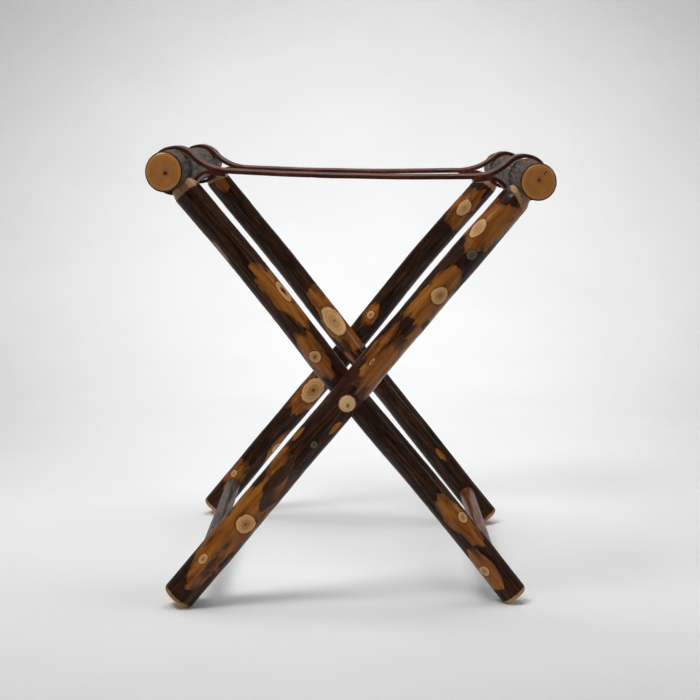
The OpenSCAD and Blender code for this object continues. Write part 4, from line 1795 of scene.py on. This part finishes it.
@dataclass
class Strap:
    """One leather strap: two loops round the rails, riveted tails and the sagging band between.

    Attributes:
        plan: Its measures.
        rack: The rack's places.
        thickness: Thickness of the leather.
        rail_gap: Air between a loop and its rail.
        lap_gap: Air between a tail and the strap above it.
        level_at: Distance from a rail's axis at which the strap comes level.
        lap: Length of a tail's riveted lap beyond there.
        seam: Where the left and the right piece meet.
        bend_reach: Not used.
        lean_mm: How much higher its back edge lies between the loops.
        cup: How deep its middle is cupped.
        uneven: Height of its ripples.
        ripples: Ripples per metre.
        waver: How far its cut edges waver.
        wavers: Wavers per metre.
        loop_length: Length from a tail's end within which the loop keeps it straight.
        settled: Length beyond the loop in which it has no ripples yet.
        fade: Length over which its cup and ripples grow from nothing.
        seam_fade: Length before the seam over which the ripples die out.
        trim: How much narrower each edge is than the CAD solid's.
        worn: Radius worn on its cut edges.
        rows: Points across it.
    """

    plan: StrapPlan
    rack: Rack
    thickness: float = 0.0044
    rail_gap: float = 0.0003
    lap_gap: float = 0.00015
    level_at: float = 0.0635
    lap: float = 0.015
    seam: float = -0.045
    bend_reach: float = 0.016
    lean_mm: float = 1.4
    cup: float = 0.0004
    uneven: float = 0.0004
    ripples: float = 23
    waver: float = 0.0005
    wavers: float = 30
    loop_length: float = 0.14
    settled: float = 0.01
    fade: float = 0.05
    seam_fade: float = 0.03
    trim: float = 0.0002
    worn: float = 0.0007
    rows: int = 11

    def build(self) -> list[bpy.types.Object]:
        """Make the strap's two pieces and bind the left one to its body.

        Returns:
            The left piece and the right piece.
        """
        side = self.plan.side
        graph = self._material()
        left = self._band(f"{side}_strap_left_band", self._path_left(), f"{side}_strap_left")
        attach(left, f"{side}_strap_left_end")
        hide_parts(f"{side}_strap_left")
        right = self._band(f"{side}_strap_right_band", self._path_right(), f"{side}_strap_right")
        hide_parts(f"{side}_strap_right", f"{side}_strap_middle")
        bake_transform(right)
        for piece in (left, right):
            dress(piece, graph)
        return [left, right]

    @property
    def _levels(self) -> tuple[float, float]:
        """Heights at which the strap comes level beside the left and the right rail."""
        rack, plan = self.rack, self.plan
        return rack.left_rail.z + plan.left_rise * MM, rack.right_rail.z + plan.right_rise * MM

    @property
    def _ends(self) -> tuple[float, float]:
        """X of the two places where the strap comes level."""
        return self.rack.left_rail.x + self.level_at, self.rack.right_rail.x - self.level_at

    def _height_at(self, x: float) -> float:
        """Height of the strap's middle layer between the loops.

        Args:
            x: X of the place.

        Returns:
            The height.
        """
        (low, high), (left, right) = self._ends, self._levels
        f = (x - low) / (high - low)
        return left * (1 - f) + right * f - 4 * self.plan.sag * MM * f * (1 - f)

    def _slope_at(self, x: float) -> float:
        """Slope of the strap's middle layer, radians.

        Args:
            x: X of the place.

        Returns:
            The slope.
        """
        (low, high), (left, right) = self._ends, self._levels
        f = (x - low) / (high - low)
        return math.atan((right - left - 4 * self.plan.sag * MM * (1 - 2 * f)) / (high - low))

    def _loop(self, rail_radius: float, rise: float, slope: float) -> Loop:
        """Work out a loop round a rail.

        Args:
            rail_radius: The rail's radius.
            rise: Height over the rail's axis at which the strap comes level, mm.
            slope: Slope of the strap there, radians.

        Returns:
            The loop.
        """
        slack = self.plan.slack * MM
        radius = rail_radius + self.rail_gap + slack + self.thickness / 2
        p = np.array([self.level_at - slack, rise * MM])
        up = np.array([-math.sin(slope), math.cos(slope)])
        upper_radius = (p @ p - radius**2) / (2 * (radius - p @ up))
        upper = p + upper_radius * up
        lap_radius = upper_radius + self.thickness + self.lap_gap
        lap_end = slope - math.pi / 2 - self.lap / lap_radius
        k = np.array([math.cos(lap_end), math.sin(lap_end)])
        q = upper + lap_radius * k
        lower_radius = (q @ q - radius**2) / (2 * (radius - q @ k))
        lower = q + lower_radius * k
        return Loop(radius, upper, upper_radius, lower, lower_radius, lap_radius, lap_end, slope)

    @staticmethod
    def _arc(centre: np.ndarray, radius: float, first: float, last: float) -> list[np.ndarray]:
        """Points of an arc, with its first point left out.

        Args:
            centre: Middle.
            radius: Radius.
            first: Angle at which it begins.
            last: Angle at which it ends.

        Returns:
            The points.
        """
        count = max(3, math.ceil(abs(last - first) / math.radians(4)))
        turns = np.linspace(first, last, count + 1)[1:]
        return [centre + radius * np.array([math.cos(t), math.sin(t)]) for t in turns]

    def _loop_path(self, loop: Loop) -> list[np.ndarray]:
        """Middle layer of a loop, from the tail's end round the rail to the level strap.

        Args:
            loop: The loop.

        Returns:
            Points in the loop's own frame.
        """
        start = loop.slope - math.pi / 2
        above, below = math.atan2(*loop.upper[::-1]), math.atan2(*loop.lower[::-1])
        path = [loop.upper + loop.lap_radius * np.array([math.cos(start), math.sin(start)])]
        path += self._arc(loop.upper, loop.lap_radius, start, loop.lap_end)
        path += self._arc(loop.lower, loop.lower_radius, loop.lap_end + math.pi, below + math.pi)
        path += self._arc(np.zeros(2), loop.radius, below + TAU, above)
        path += self._arc(loop.upper, loop.upper_radius, above - math.pi, start)
        return path

    def _path_left(self) -> list[np.ndarray]:
        """Middle layer of the left piece in X and Z, from its tail to the seam.

        Returns:
            The points.
        """
        rail = self.rack.left_rail
        loop = self._loop(extent("left_rail").z / 2, self.plan.left_rise, self._slope_at(self._ends[0]))
        shift = np.array([rail.x + self.plan.slack * MM, rail.z])
        path = [shift + p for p in self._loop_path(loop)]
        xs = np.linspace(self._ends[0], self.seam, 26)[1:]
        return path + [np.array([x, self._height_at(x)]) for x in xs]

    def _path_right(self) -> list[np.ndarray]:
        """Middle layer of the right piece in X and Z, from its tail to the seam.

        Returns:
            The points.
        """
        rail = self.rack.right_rail
        loop = self._loop(extent("right_rail").z / 2, self.plan.right_rise, -self._slope_at(self._ends[1]))
        shift = np.array([rail.x - self.plan.slack * MM, rail.z])
        path = [shift + p * np.array([-1, 1]) for p in self._loop_path(loop)]
        xs = np.linspace(self._ends[1], self.seam, 70)[1:]
        return path + [np.array([x, self._height_at(x)]) for x in xs]

    def _band(self, name: str, path: list[np.ndarray], node: str) -> bpy.types.Object:
        """Lay a grid along the path, thicken it and round its edges.

        Args:
            name: Name of the piece.
            path: Its middle layer in X and Z.
            node: The CAD node whose width it takes.

        Returns:
            The finished band.
        """
        low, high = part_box(node)
        steps = len(path)
        obj = start_mesh(
            lambda: bpy.ops.mesh.primitive_grid_add(
                x_subdivisions=steps - 1, y_subdivisions=self.rows - 1, size=1
            ),
            name,
        )
        unit = coordinates(obj)
        index = np.rint((unit[:, 0] + 0.5) * (steps - 1)).astype(int)
        across = unit[:, 1] + 0.5
        line = np.array(path)
        travel = np.concatenate([[0], np.cumsum(np.linalg.norm(np.diff(line, axis=0), axis=1))])
        y = low.y + self.trim + across * (high.y - low.y - 2 * self.trim)
        lean = self.lean_mm * MM * (across - 0.5)
        cup = lean - self.cup * (1 - (2 * across - 1) ** 2)
        cup *= np.clip((travel[index] - self.loop_length) / self.fade, 0, 1)
        waves = [noise.noise(Vector((t * self.ripples, self.plan.slack, 0.5))) for t in travel]
        ripple = self.uneven * np.array(waves)
        ripple *= np.clip((travel - self.loop_length - self.settled) / self.fade, 0, 1)
        ripple *= np.clip((travel[-1] - travel) / self.seam_fade, 0, 1)
        near, far = (
            self.waver * np.array([noise.noise(Vector((t * self.wavers, side, 2.5))) for t in travel])[index]
            for side in (0, 5)
        )
        sway = np.where(across < 0.5, near, far) * np.abs(2 * across - 1)
        places = np.stack([line[index, 0], y + sway, line[index, 1] + cup + ripple[index]], 1)
        set_coordinates(obj, places)
        store_vectors(obj, "grain", np.stack([y - (low.y + high.y) / 2, travel[index], np.zeros(len(y))], 1))
        pick(obj, faces=[])
        bpy.ops.mesh.select_all(action="SELECT")
        bpy.ops.mesh.normals_make_consistent(inside=False)
        bpy.ops.object.mode_set(mode="OBJECT")
        apply_modifier(obj, "SOLIDIFY", thickness=self.thickness, offset=0.0, use_even_offset=True)
        square = math.radians(60)
        apply_modifier(obj, "BEVEL", width=self.worn, segments=2, limit_method="ANGLE", angle_limit=square)
        smooth(obj, 42)
        return obj

    def _material(self) -> Graph:
        """Oiled reddish brown harness leather with dark cut edges, and lighter patches on its wrinkle tops
        that are partly wear and partly painted sheen.

        Its wrinkles are 4 mm apart, its cells 1.1 mm and its pores 0.6 mm, about twice the real ones.

        Returns:
            The finished graph.
        """
        g = Graph(f"oiled_harness_leather_{self.plan.side}", Slot.LEATHER)
        grain = g.add(Node.ATTRIBUTE, attribute_name="grain", out="Vector")
        at = g.add(Node.PLACE, out="Object")
        pores = g.add(Node.CELLS, at, 1700)
        cell = g.add(Node.SOFT_CELLS, at, 900)
        wrinkle = g.add(Node.NOISE, at, 260, 5, 0.6, Distortion=0.3)
        cloud = g.add(Node.NOISE, at, 26, 4, 0.6)
        fine = g.add(Node.NOISE, at, 2600, 2, 0.55)
        tone = g.add(Node.TIMES_PLUS, cloud, 0.6, g.add(Node.TIMES, wrinkle, 0.4))
        color = g.add(Node.RAMP, tone, stops=[(0.36, "#301008"), (0.5, "#4e1c0e"), (0.64, "#6d2f1a")])
        across = g.add(Node.SIZE, g.add(Node.SPLIT, grain, out="X"))
        edge = g.add(Node.STEP, across, 0.0150, 0.0188)
        color = g.add(Node.MIX, g.add(Node.TIMES, edge, 0.55), color, linear("#260f09"))
        # Lighter patches on the wrinkle tops: partly rubbed wear and partly painted sheen, in the tone of the
        # grazing reflection off the strap's top.
        wear_and_sheen = g.add(Node.TIMES, g.add(Node.STEP, cloud, 0.5, 0.7), g.add(Node.STEP, wrinkle, 0.4, 0.65))
        color = g.add(Node.MIX, g.add(Node.TIMES, wear_and_sheen, 0.35), color, linear("#8a5138"))
        rough = g.add(Node.TIMES_PLUS, wrinkle, 0.25, 0.30)
        height = g.add(Node.TIMES_PLUS, cell, 0.25, g.add(Node.TIMES, wrinkle, 0.3))
        height = g.add(Node.TIMES_PLUS, fine, 0.1, g.add(Node.TIMES_PLUS, pores, 0.35, height))
        sheen = {"Coat_Weight": 0.06, "Coat_Roughness": 0.3, "Specular_IOR_Level": 0.16}
        return g.finish(color, rough, height, 0.16, **sheen)


# ----------------------------------------------------------------------------------------------
# Metal that is carried over from the CAD solids
# ----------------------------------------------------------------------------------------------


class Metal(Enum):
    """Metals of the small hardware: name, slot, base colour, stain and roughness."""

    # Zinc-plated steel gone dull: grey, with soft cloudy reflections.
    ZINC = ("dull_zinc_steel", Slot.STEEL, "#9b9c9a", "#6d6a64", 0.42)
    # Copper burnished by hand and tarnished since: reddish, brown in the stains.
    COPPER = ("burnished_copper", Slot.COPPER, "#a8663c", "#5b3422", 0.34)

    def build(self) -> Graph:
        """Make the metal's material.

        Returns:
            Its graph.
        """
        name, slot, base, stain, roughness = self.value
        g = Graph(name, slot)
        at = g.add(Node.PLACE, out="Object")
        tarnish = g.add(Node.STEP, g.add(Node.NOISE, at, 420, 5, 0.65), 0.45, 0.68)
        brushed = g.add(Node.NOISE, g.add(Node.STRETCH, at, (1, 0.08, 1)), 3200, 2, 0.55)
        color = g.add(Node.MIX, g.add(Node.TIMES, tarnish, 0.6), linear(base), linear(stain))
        rough = g.add(Node.TIMES_PLUS, tarnish, 0.2, g.add(Node.TIMES_PLUS, brushed, 0.12, roughness - 0.06))
        return g.finish(color, rough, brushed, 0.02, Metallic=1.0)


# ----------------------------------------------------------------------------------------------
# Studio
# ----------------------------------------------------------------------------------------------


@dataclass(frozen=True)
class Lens:
    """Camera place and aim: metres and degrees."""

    place: tuple[float, float, float] = (0.0244, -2.0962, 0.5716)
    down: float = 7.988
    left: float = 0.633
    roll: float = 0.719
    focal_mm: float = 83.41
    sensor_mm: float = 36.0

    def build(self) -> bpy.types.Object:
        """Make the camera and use it.

        Returns:
            The camera.
        """
        down, left, roll = (math.radians(v) for v in (self.down, self.left, self.roll))
        ahead = Vector((-math.sin(left) * math.cos(down), math.cos(left) * math.cos(down), -math.sin(down)))
        flat_right = Vector((math.cos(left), math.sin(left), 0))
        flat_up = flat_right.cross(ahead)
        right = flat_right * math.cos(roll) + flat_up * math.sin(roll)
        up = flat_up * math.cos(roll) - flat_right * math.sin(roll)
        data = bpy.data.cameras.new("camera")
        data.lens = self.focal_mm
        data.sensor_width = self.sensor_mm
        data.dof.use_dof = False
        camera = bpy.data.objects.new("camera", data)
        bpy.context.scene.collection.objects.link(camera)
        turn = Matrix((right, up, -ahead)).transposed().to_4x4()
        camera.matrix_world = Matrix.Translation(self.place) @ turn
        bpy.context.scene.camera = camera
        return camera


@dataclass(frozen=True)
class Light:
    """A light that is aimed at a point."""

    name: str
    place: tuple[float, float, float]
    aim: tuple[float, float, float]
    power: float

    def hang(self, kind: str) -> bpy.types.Light:
        """Put up a light and aim it.

        Args:
            kind: Blender's kind of light.

        Returns:
            The light's data.
        """
        data = bpy.data.lights.new(self.name, kind)
        data.energy = self.power
        lamp = bpy.data.objects.new(self.name, data)
        bpy.context.scene.collection.objects.link(lamp)
        lamp.location = self.place
        lamp.rotation_euler = (Vector(self.aim) - Vector(self.place)).to_track_quat("-Z", "Y").to_euler()
        return data


@dataclass(frozen=True)
class Panel(Light):
    """A soft square panel of light."""

    size: float

    def build(self) -> None:
        """Put up the panel."""
        self.hang("AREA").size = self.size


@dataclass(frozen=True)
class Pool(Light):
    """A soft-edged round pool of light: the angle of its cone and the radius of its lamp."""

    angle: float
    radius: float = 0.6

    def build(self) -> None:
        """Put up the lamp."""
        data = self.hang("SPOT")
        data.spot_size = math.radians(self.angle)
        data.spot_blend = 1.0
        data.shadow_soft_size = self.radius


@dataclass
class Studio:
    """Curved paper backdrop, lights and camera."""

    lens: Lens = Lens()
    half_width: float = 5.0
    front: float = -3.2
    back: float = 3.2
    bend_radius: float = 2.0
    wall_height: float = 4.0
    sky: float = 0.26
    lamps: tuple[Union[Panel, Pool], ...] = (
        Panel("key", (-1.0, -1.0, 2.1), (0, 0, 0.3), 9.0, 0.7),
        Panel("fill", (1.9, -0.7, 1.5), (0, 0, 0.3), 4.0, 0.8),
        Panel("top", (0.1, 0.4, 2.5), (0, 0.1, 0.0), 13.0, 1.4),
        Pool("key_pool", (-0.7, -1.0, 2.3), (0.0, 0.14, 0.05), 108.0, 41.0, 0.55),
        Pool("floor_pool", (0.2, 0.2, 2.5), (0.0, 0.5, 0.0), 78.0, 54.0),
        Pool("backdrop_pool", (0.0, 0.2, 2.4), (0.0, 2.3, 0.22), 230.0, 66.0),
    )

    def build(self) -> None:
        """Make the backdrop, the lights, the sky and the camera."""
        self._backdrop()
        for lamp in self.lamps:
            lamp.build()
        world = bpy.data.worlds.new("studio")
        bpy.context.scene.world = world
        world.use_nodes = True
        sky = world.node_tree.nodes["Background"]
        sky.inputs["Color"].default_value = linear("#f7f8fa")
        sky.inputs["Strength"].default_value = self.sky
        bpy.context.scene.view_settings.view_transform = "Standard"
        self.lens.build()

    def _backdrop(self) -> None:
        """Floor that curves up into a wall, so that no horizon shows."""
        depth = self.back - self.front
        paper = start_mesh(
            lambda: bpy.ops.mesh.primitive_plane_add(size=1, location=(0, (self.back + self.front) / 2, 0)),
            "studio_paper",
        )
        paper.scale = (2 * self.half_width, depth, 1)
        bpy.ops.object.transform_apply(location=True, rotation=True, scale=True)
        places = coordinates(paper)
        rear = [e.index for e in paper.data.edges if all(places[v][1] > self.back - 0.01 for v in e.vertices)]
        pick(paper, edges=rear)
        bpy.ops.mesh.extrude_region_move(TRANSFORM_OT_translate={"value": (0, 0, self.wall_height)})
        bpy.ops.object.mode_set(mode="OBJECT")
        apply_modifier(paper, "BEVEL", width=self.bend_radius, segments=32, limit_method="ANGLE")
        smooth(paper)
        g = Graph("pale_studio_paper")
        mottled = g.add(Node.NOISE, g.add(Node.PLACE, out="Object"), 3.0, 3, 0.55)
        g.finish(g.add(Node.RAMP, mottled, stops=[(0.3, "#efefef"), (0.7, "#f3f3f3")]), 0.9)
        paper.data.materials.append(g.material)


# ----------------------------------------------------------------------------------------------
# Build
# ----------------------------------------------------------------------------------------------


def main() -> None:
    """Build every piece in order."""
    logging.basicConfig(level=logging.INFO, format="%(message)s")
    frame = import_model()
    rack = Rack.read(frame)
    nodes = frame["nodes"]

    legs = [Leg(plan, rack) for plan in (OUTER_FRONT, OUTER_REAR, INNER_FRONT, INNER_REAR)]
    rails = [
        Rail("left_rail", "inner_frame", LEFT_RAIL_ENDS, (0.995, 0.955), (1.08, 1.025), 0.8),
        Rail("right_rail", "outer_frame", RIGHT_RAIL_ENDS, (1.005, 0.96), (1.045, 1.03), -0.3, 2.4),
    ]
    left_knot, right_knot = Knot(250, 20, 5, 4, swell=0.5), Knot(200, 10, 7, 5, KnotKind.PALE, 0.5)
    sticks = [
        Stretcher("left_stretcher", "outer_frame", nodes["left_stretcher"], GREY_STICK, (left_knot,)),
        Stretcher("right_stretcher", "inner_frame", nodes["right_stretcher"], BROWN_STICK, (right_knot,)),
    ]
    plugs = [Plug(f"{side}_pivot_plug", f"outer_{side}_leg", rack) for side in ("front", "rear")]
    pieces = [wood.build() for wood in (*legs, *rails, *sticks, *plugs)]
    for plan in (StrapPlan("front", 3.0, 0.2, 0.3, 2.6), StrapPlan("rear", 0.5, -4.6, -1.6, 2.4)):
        pieces += Strap(plan, rack).build()
    for piece in pieces:
        LOG.info("%s: %d faces", piece.name, len(piece.data.polygons))

    zinc, copper = Metal.ZINC.build(), Metal.COPPER.build()
    for node in ("pivot_screws", "head_washers", "thrust_washers"):
        dress(nodes[node], zinc)
    for node in ("front_left_rivets", "front_right_rivets", "rear_left_rivets", "rear_right_rivets"):
        dress(nodes[node], copper)
    Studio().build()


if __name__ == "__main__":
    main()
